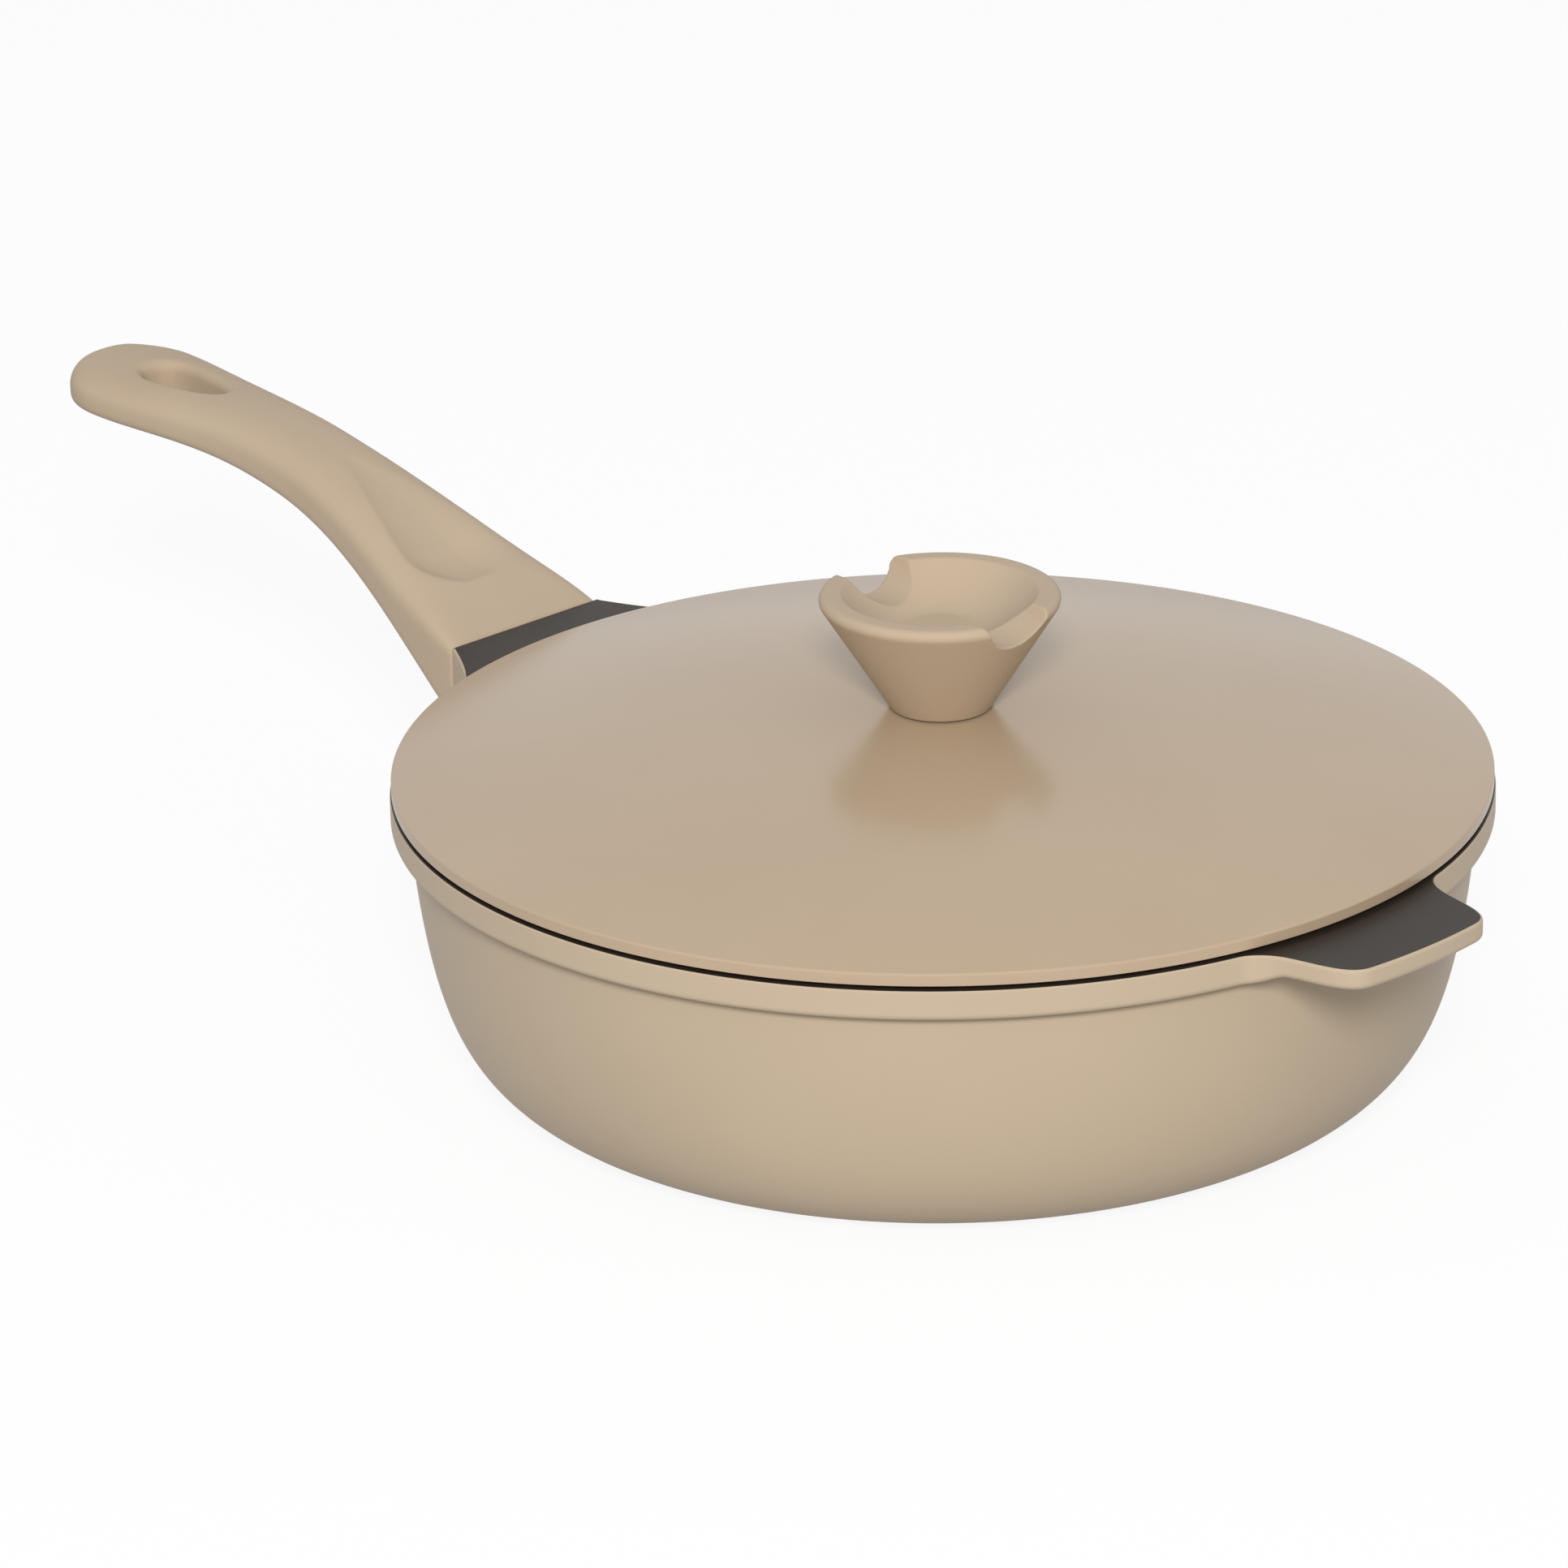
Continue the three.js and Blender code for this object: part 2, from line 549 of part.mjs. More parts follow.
function lidKnob() {
  const bushHole = INSERT_RADIUS + SEAT_GAP;
  const lipInner = KNOB_RADIUS - KNOB_LIP;
  const dishFloor = knobTop - DISH_DEPTH;
  const dishFoot = lipInner - DISH_SLOPE_RUN;
  const profile = new THREE.Path();
  profile.moveTo(0, knobFoot + INSERT_LENGTH + SEAT_GAP);
  profile.lineTo(bushHole, knobFoot + INSERT_LENGTH + SEAT_GAP);
  profile.lineTo(bushHole, knobFoot);
  profile.lineTo(gasketRadius + SEAT_GAP, knobFoot);
  profile.lineTo(gasketRadius + SEAT_GAP, gasketFloor);
  profile.lineTo(KNOB_FOOT_RADIUS, gasketFloor);
  profile.lineTo(KNOB_FOOT_RADIUS, knobFoot);
  profile.lineTo(KNOB_RADIUS, knobTop - KNOB_LIP_ROUND);
  profile.quadraticCurveTo(KNOB_RADIUS, knobTop, KNOB_RADIUS - KNOB_LIP_ROUND, knobTop);
  profile.lineTo(lipInner + KNOB_LIP_ROUND / 2, knobTop);
  profile.lineTo(lipInner, knobTop - KNOB_LIP_ROUND / 2);
  profile.quadraticCurveTo(dishFoot + KNOB_LIP_ROUND, dishFloor, dishFoot, dishFloor);
  profile.lineTo(0, dishFloor);
  const length = 3 * KNOB_RADIUS;
  const groove = new THREE.CylinderGeometry(GROOVE_RADIUS, GROOVE_RADIUS, length, KNOB_SEGMENTS);
  groove.rotateZ(Math.PI / 2).translate(0, 0, knobTop - GROOVE_DEPTH + GROOVE_RADIUS);
  const knob = solid(turned(profile, KNOB_SEGMENTS)).subtract(solid(groove));
  return piece('lid_knob', surface(knob), softTouch);
}

// What holds the knob, from the bush in its foot down to the screw's head under the lid
function knobFixings() {
  const washerTop = lidPad - LID_THICKNESS - SEAT_GAP;
  const washerFloor = washerTop - KNOB_WASHER_THICKNESS;
  const headFloor = washerFloor - SEAT_GAP - SCREW_HEAD_HEIGHT;
  const bushTop = knobFoot + INSERT_LENGTH;
  const gasketTop = gasketFloor + GASKET_THICKNESS;
  return [
    piece('knob_gasket', ring(screwHole, gasketRadius, gasketFloor, gasketTop), silicone),
    piece('knob_insert', ring(screwHole, INSERT_RADIUS, knobFoot, bushTop), brass),
    piece('knob_screw', screw(headFloor, bushTop - KNOB_SCREW_END_GAP), steel),
    piece('knob_washer', ring(screwHole, KNOB_WASHER_RADIUS, washerFloor, washerTop), steel),
  ];
}

function pan() {
  const group = new THREE.Group();
  group.add(panBody(), basePlate(), handleGrip(), handleFasteners());
  return group;
}

function lid() {
  const group = new THREE.Group();
  group.add(lidPlate(), lidKnob(), ...knobFixings());
  return group;
}

const sautePan = new THREE.Group();
sautePan.add(pan(), lid());

export default sautePan;
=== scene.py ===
import math

import bpy
from mathutils import Matrix, Vector


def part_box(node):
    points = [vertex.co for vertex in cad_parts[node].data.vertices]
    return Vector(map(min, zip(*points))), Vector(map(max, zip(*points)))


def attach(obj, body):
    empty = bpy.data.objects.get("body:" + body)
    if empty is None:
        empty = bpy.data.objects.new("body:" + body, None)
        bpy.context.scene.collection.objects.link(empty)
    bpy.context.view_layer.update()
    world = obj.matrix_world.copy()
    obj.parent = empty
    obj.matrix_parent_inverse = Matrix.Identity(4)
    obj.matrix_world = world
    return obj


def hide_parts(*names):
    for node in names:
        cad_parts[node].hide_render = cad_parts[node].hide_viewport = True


# Saute pan with lid: smooth castings and mouldings with their finishes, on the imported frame.
# Metres, +Z up, the base's centre on the table at the origin.
# The long handle points along -X, the helper tab along +X.

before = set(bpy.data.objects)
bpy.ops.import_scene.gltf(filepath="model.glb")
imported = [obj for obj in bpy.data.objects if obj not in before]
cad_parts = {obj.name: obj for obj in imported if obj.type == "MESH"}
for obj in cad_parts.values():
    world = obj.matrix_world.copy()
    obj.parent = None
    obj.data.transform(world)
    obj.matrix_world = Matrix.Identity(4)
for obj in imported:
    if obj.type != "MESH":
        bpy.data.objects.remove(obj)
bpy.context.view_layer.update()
MM = 0.001

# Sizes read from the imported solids
pan_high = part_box("pan_body")[1]
plate_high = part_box("base_plate")[1]
grip_low, grip_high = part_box("handle_grip")
lid_low, lid_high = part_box("lid_plate")
knob_low, knob_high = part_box("lid_knob")
gasket_low, gasket_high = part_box("knob_gasket")
knob_washer_low, knob_washer_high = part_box("knob_washer")
knob_screw_low, knob_screw_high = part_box("knob_screw")

# Fits
SEAT_GAP = 0.3 * MM
SKIRT_CLEARANCE = 0.8 * MM
LUG_GAP = 0.1 * MM

# Shading: bends sharper than the crease stay crisp, and a ring just past a round keeps
# the face beside it flat
CREASE = math.radians(42)
EDGE_SUPPORT = 0.1 * MM

# Rounds: steps of an arc, the most of an edge that it takes up, and how far past it a support is
ROUND_STEPS = 5
ROUND_LIMIT = 0.48
ROUND_SUPPORT = 0.02

# Halvings in a search along a curve, and the radius under which a ring is a single point
HALVINGS = 40
POLE_RADIUS = 1e-7

# Bowl
SKIRT_DEPTH = 6 * MM
RIM_HEIGHT = lid_low.z + SKIRT_DEPTH - SEAT_GAP
RIM_RADIUS = pan_high.y
RIM_BAND = 8 * MM
RIM_OVERHANG = 4.4 * MM
RIM_TOP_ROUND = 0.7 * MM
RIM_LOW_ROUND = 1.6 * MM
RIM_FLAT = 1.2 * MM
BAND_FILLET = 2 * MM
BORE_ROUND = 1.2 * MM
WALL = 4 * MM
WALL_DRAFT = math.radians(4.9)
WALL_FULLNESS = 0.74
BOWL_TAPER = 30 * MM
FOOT_SLOPE = math.radians(18)
FOOT_FULLNESS = 0.65
FLOOR = 4 * MM
PLATE_PROUD = 0.6 * MM
PLATE_BORDER = 1.2 * MM
PLATE_LOW_ROUND = 0.5 * MM
PLATE_TOP_ROUND = 0.3 * MM
PLATE_SIDES = 240
RECESS_ROUND = 0.3 * MM
FOOT_ROUND = 0.25 * MM
WALL_STEPS = 30
FILLET_STEPS = 5
LOW_ROUND_STEPS = 6
FLOOR_SHARES = (0.93, 0.85, 0.5)
WALL_RADIUS = RIM_RADIUS - RIM_OVERHANG
BORE_RADIUS = WALL_RADIUS - WALL
FOOT_RADIUS = WALL_RADIUS - BOWL_TAPER
BAND_FLOOR = RIM_HEIGHT - RIM_BAND
RECESS_CEILING = plate_high.z + SEAT_GAP
PAN_FLOOR = RECESS_CEILING + FLOOR

# How far round the rim's top edge the dark coat starts, on the plain rim and on the tab and lug
RIM_COAT_EDGE = math.radians(45)
TAB_COAT_EDGE = math.radians(80)

# Helper tab and lug, cast on the rim
TAB_REACH = pan_high.x
TAB_THICKNESS = 5.4 * MM
TAB_ROOT_WIDTH = 72 * MM
TAB_TIP_WIDTH = 37.5 * MM
TAB_FAIRING = 12 * MM
TAB_BLEND = 7 * MM
LUG_FRONT = grip_high.x + LUG_GAP
LUG_THICKNESS = 16 * MM
LUG_RISE = 1.3 * MM
LUG_ROOT_WIDTH = 96 * MM
LUG_INSET = 0.3 * MM
LUG_SIDE_ANGLE = math.radians(28)
LUG_ROOT_PULL = 8 * MM
LUG_FRONT_PULL = 16.5 * MM
LUG_BLEND = 10 * MM
TONGUE_LENGTH = 30 * MM
TONGUE_WIDTH = 30 * MM
TONGUE_THICKNESS = 8 * MM
TONGUE_ROOT = 3 * MM
TONGUE_ROUND = 0.8 * MM
TIP_STEPS = 10
SIDE_STEPS = 36
RIM_STEPS = 120
# The turn from the wall to the tab's underside: reach past the rim, share of the way up
TAB_UNDER = [(-1 * MM, 0.05), (0, 0.4), (0.8 * MM, 0.8), (3 * MM, 1.0)]

# Long handle
GRIP_FRONT = grip_high.x
GRIP_LENGTH = grip_high.x - grip_low.x
GRIP_STEP = 1.6 * MM
GRIP_RISE = 39.9 * MM
GRIP_START_SLOPE = math.radians(29)
GRIP_END_SLOPE = math.radians(5.7)
GRIP_START_FULLNESS = 0.555
GRIP_END_FULLNESS = 0.356
GRIP_FRONT_WIDTH = 52.6 * MM
GRIP_WAIST_WIDTH = 29.2 * MM
GRIP_TIP_WIDTH = 40.6 * MM
GRIP_WAIST = 85 * MM
GRIP_TIP_ROUND = 20 * MM
GRIP_NOSE_ROUND = 6 * MM
GRIP_NOSE_DROOP = 1.3 * MM
GRIP_FRONT_DEPTH = 23.4 * MM
GRIP_TIP_DEPTH = 14.2 * MM
FLARE_BIAS = 0.85
SWELL_BIAS = 1.6
DEPTH_POWER = 2.2
FRONT_SQUARENESS = 12
GRIP_SQUARENESS = 2.5
GRIP_UNDER_SQUARENESS = 3.4
GRIP_UNDER_SHARE = 0.86
SQUARE_FADE = 10 * MM
UNDER_FADE = 45 * MM
GRIP_EDGE = 0.5 * MM
GRIP_TOP = RIM_HEIGHT + GRIP_STEP
GRIP_MIDDLE = GRIP_TOP - GRIP_FRONT_DEPTH / 2
GRIP_FACE = 0.45 * MM
GRIP_SOFTENING = 6
GRIP_SIDES = 96
GRIP_EDGE_STEPS = 6
GRIP_STEPS = 110
GRIP_TIP_STEPS = 30
THUMB_START = 16 * MM
THUMB_WIDEST = 29.5 * MM
THUMB_END = 74 * MM
THUMB_NEAR_WIDTH = 15 * MM
THUMB_FAR_WIDTH = 19 * MM
THUMB_DEPTH = 3.8 * MM
THUMB_TAIL_WIDTH = 1.25
THUMB_TAIL_DEPTH = 1.3
SLOT_CENTRE = 138 * MM
SLOT_LENGTH = 31 * MM
SLOT_WIDTH = 12.4 * MM
SLOT_TAPER = 0.35
SLOT_SQUARENESS = 2.5
SLOT_LIP = 3 * MM
SLOT_LIP_TURN = math.radians(78)
SLOT_LIP_STEPS = 7
SLOT_RUNOUT = 3 * MM
SLOT_RUNOUT_RISE = 1.2 * MM
SLOT_CUT_RISE = 20 * MM
SLOT_SIDES = 80

# Lid
LID_SEAT = lid_low.z + SKIRT_DEPTH
LID_RADIUS = lid_high.y
LID_PAD = lid_high.z
LID_EDGE = 3.95 * MM
LID_EDGE_ROUND = 0.7 * MM
LID_EDGE_LIFT = 0.6 * MM
LID_EDGE_REACH = 2.4 * MM
LID_THICKNESS = 2.6 * MM
LID_PAD_BORDER = 2.5 * MM
LID_LOW_ROUND = 0.3 * MM
LID_STEP_ROUND = 0.2 * MM
LID_HOLE_ROUND = 0.2 * MM
LID_OVER_MARGIN = 3 * MM
LID_UNDER_MARGIN = 4 * MM
LID_OVER_STEPS = 48
LID_UNDER_STEPS = 40
LID_SIDES = 288
SKIRT_THICKNESS = 2.4 * MM
SKIRT_ROOT_ROUND = 1.2 * MM
SKIRT_EDGE_ROUND = 0.9 * MM
SKIRT_SEAT_ROUND = 0.6 * MM
KNOB_FOOT_RADIUS = 13.5 * MM
PAD_RADIUS = KNOB_FOOT_RADIUS + LID_PAD_BORDER

# Knob
KNOB_FOOT = gasket_high.z + SEAT_GAP
KNOB_SKIRT = knob_low.z
KNOB_TOP = knob_high.z
KNOB_RADIUS = knob_high.y
KNOB_LIP_ROUND = 2 * MM
KNOB_FOOT_ROUND = 0.25 * MM
KNOB_FACE = 0.3 * MM
KNOB_SOFTENING = 10
KNOB_SIDES = 240
LIP_INNER = 25 * MM
LIP_INNER_ROUND = 1 * MM
DISH_FLOOR_RADIUS = 9 * MM
DISH_CURVE = 1.65
DISH_DEPTH = 9.5 * MM
DISH_STEPS = 30
GROOVE_RADIUS = 10.6 * MM
GROOVE_DEPTH = 7.6 * MM
GROOVE_TURN = math.radians(-2.5)
GROOVE_SIDES = 160
CONE_SLOPE = 27 / 17.1
BUSH_HOLE = 5.3 * MM
BUSH_POCKET = 12.3 * MM
BUSH_POCKET_ROUND = 0.3 * MM
SEAL_POCKET_ROUND = 0.2 * MM

# Fasteners
SCREW_RADIUS = 2.5 * MM
HEAD_RADIUS = 4.8 * MM
HEAD_HEIGHT = 2.6 * MM
HEAD_ROUND = 1.3 * MM
HEAD_CROWN = 0.15 * MM
SHOULDER_ROUND = 0.2 * MM
NECK_ROUND = 0.3 * MM
SCREW_END_ROUND = 0.6 * MM
SCREW_SIDES = 64
SCREW_HOLE_SIDES = 48
DRIVE_LENGTH = 5.4 * MM
DRIVE_WIDTH = 1.1 * MM
DRIVE_DEPTH = 1.5 * MM
SCREW_HOLE = SCREW_RADIUS + SEAT_GAP
GRIP_SCREW = 15 * MM
GRIP_SEAT_WALL = 2 * MM
GRIP_WASHER_RADIUS = 5 * MM
GRIP_WASHER_THICKNESS = 0.8 * MM
GRIP_WASHER_ROUND = 0.12 * MM
GRIP_SCREW_COVER = 1 * MM
KNOB_WASHER_ROUND = 0.15 * MM
SEAL_ROUND = 0.2 * MM
RING_SIDES = 72


def lerp(start, end, share):
    """The point a share of the way from start to end."""
    return start + (end - start) * share


def smooth(share):
    """Eases a share from 0 to 1, flat at both ends."""
    share = min(max(share, 0.0), 1.0)
    return share * share * (3 - 2 * share)


def polar(radius, angle):
    """A point in the plane at a distance and a direction."""
    return Vector((radius * math.cos(angle), radius * math.sin(angle)))


def spot(radius, angle, height):
    """A point in space, by its distance and direction from the Z axis and its height."""
    return polar(radius, angle).to_3d() + Vector((0, 0, height))


def bezier(points, share):
    """A point on a curve with four control points."""
    start, pull, push, end = points
    left = 1 - share
    first = start * left**3 + pull * (3 * left**2 * share)
    return first + push * (3 * left * share**2) + end * share**3


def bulge(value, power):
    """A power that keeps the sign, for sections between an ellipse and a box."""
    return math.copysign(abs(value) ** power, value)


def share_at(curve, axis, value):
    """How far along a curve one coordinate reaches a value."""
    low, high = 0.0, 1.0
    rising = curve[3][axis] > curve[0][axis]
    for _ in range(HALVINGS):
        middle = (low + high) / 2
        if (bezier(curve, middle)[axis] < value) == rising:
            low = middle
        else:
            high = middle
    return low


def corner_round(before, corner, after, radius):
    """The arc that takes a corner's place, with a support point past each end."""
    back, onward = before - corner, after - corner
    half = back.angle(onward) / 2
    room = min(ROUND_LIMIT * back.length, ROUND_LIMIT * onward.length)
    reach = min(radius / math.tan(half), room)
    start, end = corner + back.normalized() * reach, corner + onward.normalized() * reach
    points = [start + back * (ROUND_SUPPORT * reach / back.length)]
    for k in range(ROUND_STEPS + 1):
        share = k / ROUND_STEPS
        a, b, c = (1 - share) ** 2, 2 * share * (1 - share) * math.sin(half), share**2
        points.append((start * a + corner * b + end * c) / (a + b + c))
    return points + [end + onward * (ROUND_SUPPORT * reach / onward.length)]


def rounded(corners, closed=False):
    """A profile of radius and height, each corner given with its round."""
    points = []
    last = len(corners) - 1
    for i, (radius, height, edge) in enumerate(corners):
        corner = Vector((radius, height))
        if edge and (closed or 0 < i < last):
            before = Vector(corners[i - 1][:2])
            after = Vector(corners[(i + 1) % len(corners)][:2])
            points += corner_round(before, corner, after, edge)
        else:
            points.append(corner)
    return points


def circle(radius, height, angles):
    """A level ring of points, or one point where the radius is nothing."""
    if radius < POLE_RADIUS:
        return [Vector((0, 0, height))]
    return [spot(radius, angle, height) for angle in angles]


def even_angles(count):
    """Directions spread evenly over a full turn."""
    return [2 * math.pi * k / count for k in range(count)]


def piece_from(name, vertices, faces):
    """A smooth-shaded piece with crisp edges, in the scene."""
    mesh = bpy.data.meshes.new(name)
    mesh.from_pydata(vertices, [], faces)
    mesh.shade_smooth()
    mesh.set_sharp_from_angle(angle=CREASE)
    obj = bpy.data.objects.new(name, mesh)
    bpy.context.scene.collection.objects.link(obj)
    return obj


def skin(rings, closed=False):
    """Vertices and faces between rings of points; a ring of one point is a pole."""
    vertices, starts, faces = [], [], []
    for ring in rings:
        starts.append(len(vertices))
        vertices += ring
    pairs = [(k, k + 1) for k in range(len(rings) - 1)]
    if closed:
        pairs.append((len(rings) - 1, 0))
    for low, high in pairs:
        count = max(len(rings[low]), len(rings[high]))
        a, b = starts[low], starts[high]
        for i in range(count):
            j = (i + 1) % count
            if len(rings[low]) == 1:
                faces.append((a, b + j, b + i))
            elif len(rings[high]) == 1:
                faces.append((a + i, a + j, b))
            else:
                faces.append((a + i, a + j, b + j, b + i))
    return vertices, faces


def turned(name, profile, count, closed=False):
    """A piece turned round the Z axis."""
    angles = even_angles(count)
    return piece_from(name, *skin([circle(p.x, p.y, angles) for p in profile], closed))


def settle(obj):
    """Takes a piece's modifiers into its mesh."""
    bpy.context.view_layer.update()
    graph = bpy.context.evaluated_depsgraph_get()
    shaped = bpy.data.meshes.new_from_object(obj.evaluated_get(graph))
    rough = obj.data
    obj.modifiers.clear()
    obj.data = shaped
    bpy.data.meshes.remove(rough)


def carve(obj, *cutters):
    """Cuts the cutters out of a piece and takes them away."""
    for cutter in cutters:
        cut = obj.modifiers.new("cut", "BOOLEAN")
        cut.operation = "DIFFERENCE"
        cut.solver = "EXACT"
        cut.object = cutter
    settle(obj)
    for cutter in cutters:
        bpy.data.objects.remove(cutter)


def soften(obj, face, rounds):
    """Covers a piece with even small faces and rounds its edges off."""
    even = obj.modifiers.new("even", "REMESH")
    even.mode = "VOXEL"
    even.voxel_size = face
    soft = obj.modifiers.new("soft", "SMOOTH")
    soft.factor = 0.5
    soft.iterations = rounds
    settle(obj)
    obj.data.shade_smooth()


def block(name, low, high, edge):
    """A box with rounded edges."""
    xs, ys, zs = zip(low, high)
    corners = [Vector((x, y, z)) for x in xs for y in ys for z in zs]
    sides = [(0, 1, 3, 2), (4, 6, 7, 5), (0, 4, 5, 1), (2, 3, 7, 6), (0, 2, 6, 4), (1, 5, 7, 3)]
    obj = piece_from(name, corners, sides)
    if edge:
        bevel = obj.modifiers.new("edge", "BEVEL")
        bevel.width = edge
        bevel.segments = 3
        settle(obj)
    return obj


# The tongue's own frame: -X into the handle along its slope, Z across its thickness
tongue_frame = Matrix.Translation((GRIP_FRONT, 0, GRIP_MIDDLE))
tongue_frame = tongue_frame @ Matrix.Rotation(GRIP_START_SLOPE, 4, "Y")
screw_frame = tongue_frame @ Matrix.Translation((-GRIP_SCREW, 0, 0))
washer_seat = -(TONGUE_THICKNESS / 2 + SEAT_GAP + GRIP_SEAT_WALL)


def tongue_block(name, growth, edge):
    """The tongue's block, or its socket where it grows by a gap."""
    half = Vector((0, TONGUE_WIDTH / 2 + growth, TONGUE_THICKNESS / 2 + growth))
    low = Vector((-TONGUE_LENGTH - growth, -half.y, -half.z))
    obj = block(name, low, Vector((TONGUE_ROOT, half.y, half.z)), edge)
    obj.data.transform(tongue_frame)
    return obj


# Pan casting

def wall_curve(inset, foot):
    """The bowl's wall, from just under the band down to the foot."""
    top = Vector((WALL_RADIUS - inset, BAND_FLOOR))
    end = Vector((FOOT_RADIUS - inset, foot))
    hold = (BAND_FLOOR - foot) * WALL_FULLNESS
    return [
        top,
        top + polar(hold, -math.pi / 2 - WALL_DRAFT),
        end + polar(BOWL_TAPER * FOOT_FULLNESS, FOOT_SLOPE),
        end,
    ]


def rim_outline():
    """The rim seen from above with its tab and lug, counter-clockwise from the tab's tip."""
    tip_angle = math.asin(TAB_TIP_WIDTH / 2 / TAB_REACH)
    root_angle = math.asin(TAB_ROOT_WIDTH / 2 / RIM_RADIUS)
    tip, root = polar(TAB_REACH, tip_angle), polar(RIM_RADIUS, root_angle)
    tab_side = [
        tip,
        tip + polar(TAB_FAIRING, tip_angle + math.pi / 2),
        root + polar(TAB_FAIRING, root_angle - math.pi / 2),
        root,
    ]
    lug_angle = math.pi - math.asin(LUG_ROOT_WIDTH / 2 / RIM_RADIUS)
    lug_root = polar(RIM_RADIUS, lug_angle)
    front = Vector((LUG_FRONT, GRIP_FRONT_WIDTH / 2 - LUG_INSET))
    lug_side = [
        lug_root,
        lug_root + polar(LUG_ROOT_PULL, lug_angle + math.pi / 2),
        front + polar(LUG_FRONT_PULL, LUG_SIDE_ANGLE),
        front,
    ]
    half = [polar(TAB_REACH, tip_angle * k / TIP_STEPS) for k in range(TIP_STEPS)]
    half += [bezier(tab_side, k / SIDE_STEPS) for k in range(SIDE_STEPS)]
    for k in range(RIM_STEPS):
        half.append(polar(RIM_RADIUS, lerp(root_angle, lug_angle, k / RIM_STEPS)))
    half += [bezier(lug_side, k / SIDE_STEPS) for k in range(SIDE_STEPS)]
    half += [Vector((front.x, front.y * (1 - k / TIP_STEPS))) for k in range(TIP_STEPS + 1)]
    return half + [Vector((p.x, -p.y)) for p in reversed(half[1:-1])]


def stand_out(point):
    """How far a point of the outline stands out past the plain rim."""
    return point.length - RIM_RADIUS


class Rim:
    """The rim's outline and, for each of its points, the direction from the axis, the way outwards,
    how far it belongs to the tab or the lug, and the heights of the wall's end, underside and top."""

    def __init__(self):
        self.outline = rim_outline()
        self.count = len(self.outline)
        self.angles = [math.atan2(p.y, p.x) for p in self.outline]
        self.outward = [self.way_out(i) for i in range(self.count)]
        self.tab = [smooth(stand_out(p) / TAB_BLEND) if p.x > 0 else 0.0 for p in self.outline]
        self.lug = [smooth(stand_out(p) / LUG_BLEND) if p.x < 0 else 0.0 for p in self.outline]
        self.join = [RIM_HEIGHT - lerp(RIM_BAND, LUG_THICKNESS, w) for w in self.lug]
        self.floor = [z + (RIM_BAND - TAB_THICKNESS) * w for z, w in zip(self.join, self.tab)]
        ramp = [max(-p.x - RIM_RADIUS, 0) / (-LUG_FRONT - RIM_RADIUS) for p in self.outline]
        self.top = [RIM_HEIGHT + LUG_RISE * share for share in ramp]

    def way_out(self, i):
        """Square to the outline at a point, away from the bowl."""
        along = self.outline[(i + 1) % self.count] - self.outline[i - 1]
        return Vector((along.y, -along.x)).normalized()

    def inset_ring(self, inset, heights):
        """The outline drawn in all round, each point at its own height."""
        plan = [p - n * inset for p, n in zip(self.outline, self.outward)]
        return [Vector((p.x, p.y, z)) for p, z in zip(plan, heights)]

    def edge_ring(self, turns):
        """A ring on the round of the top edge, each point at its own turn from upright."""
        ring = []
        for p, n, z, turn in zip(self.outline, self.outward, self.top, turns):
            plan = p - n * RIM_TOP_ROUND * (1 - math.cos(turn))
            ring.append(Vector((plan.x, plan.y, z - RIM_TOP_ROUND * (1 - math.sin(turn)))))
        return ring


def foot_rings(rim):
    """The recess for the base plate and the foot round it."""
    seat = FOOT_RADIUS - PLATE_BORDER + SEAT_GAP
    recess = [
        (0, RECESS_CEILING, 0),
        (seat, RECESS_CEILING, RECESS_ROUND),
        (seat, PLATE_PROUD, FOOT_ROUND),
        (FOOT_RADIUS, PLATE_PROUD, 0),
    ]
    return [circle(p.x, p.y, rim.angles) for p in rounded(recess)]


def wall_rings(rim):
    """The outer wall and the fillet that turns it out under the band."""
    outer = wall_curve(0, PLATE_PROUD)
    wall_end = [share_at(outer, 1, z - BAND_FILLET) for z in rim.join]
    rings = []
    for k in range(1, WALL_STEPS + 1):
        points = [bezier(outer, 1 - k / WALL_STEPS * (1 - end)) for end in wall_end]
        rings.append([spot(p.x, a, p.y) for p, a in zip(points, rim.angles)])
    top = [bezier(outer, end) for end in wall_end]
    for k in range(1, FILLET_STEPS + 1):
        s = k / FILLET_STEPS
        ring = []
        for p, z, a in zip(top, rim.join, rim.angles):
            ring.append(spot(p.x + BAND_FILLET * s * s, a, lerp(p.y, z, 2 * s - s * s)))
        rings.append(ring)
    return rings


def band_rings(rim, fillet_end):
    """The underside of the band, tab and lug, the round at its edge and the upright face."""
    edge_start = rim.inset_ring(RIM_LOW_ROUND, rim.floor)
    rings = []
    for k, (reach, share) in enumerate(TAB_UNDER, 1):
        ring = []
        for i, angle in enumerate(rim.angles):
            plain = lerp(fillet_end[i], edge_start[i], k / (len(TAB_UNDER) + 1))
            tucked = spot(RIM_RADIUS + reach, angle, lerp(rim.join[i], rim.floor[i], share))
            ring.append(lerp(plain, tucked, rim.tab[i]))
        rings.append(ring)
    for k in range(LOW_ROUND_STEPS + 1):
        turn = math.pi / 2 * k / LOW_ROUND_STEPS
        inset = RIM_LOW_ROUND * (1 - math.sin(turn))
        rise = RIM_LOW_ROUND * (1 - math.cos(turn))
        rings.append(rim.inset_ring(inset, [z + rise for z in rim.floor]))
    rings.append(rim.inset_ring(0, [z + RIM_LOW_ROUND + EDGE_SUPPORT for z in rim.floor]))
    rings.append(rim.inset_ring(0, [z - RIM_TOP_ROUND - EDGE_SUPPORT for z in rim.top]))
    return rings


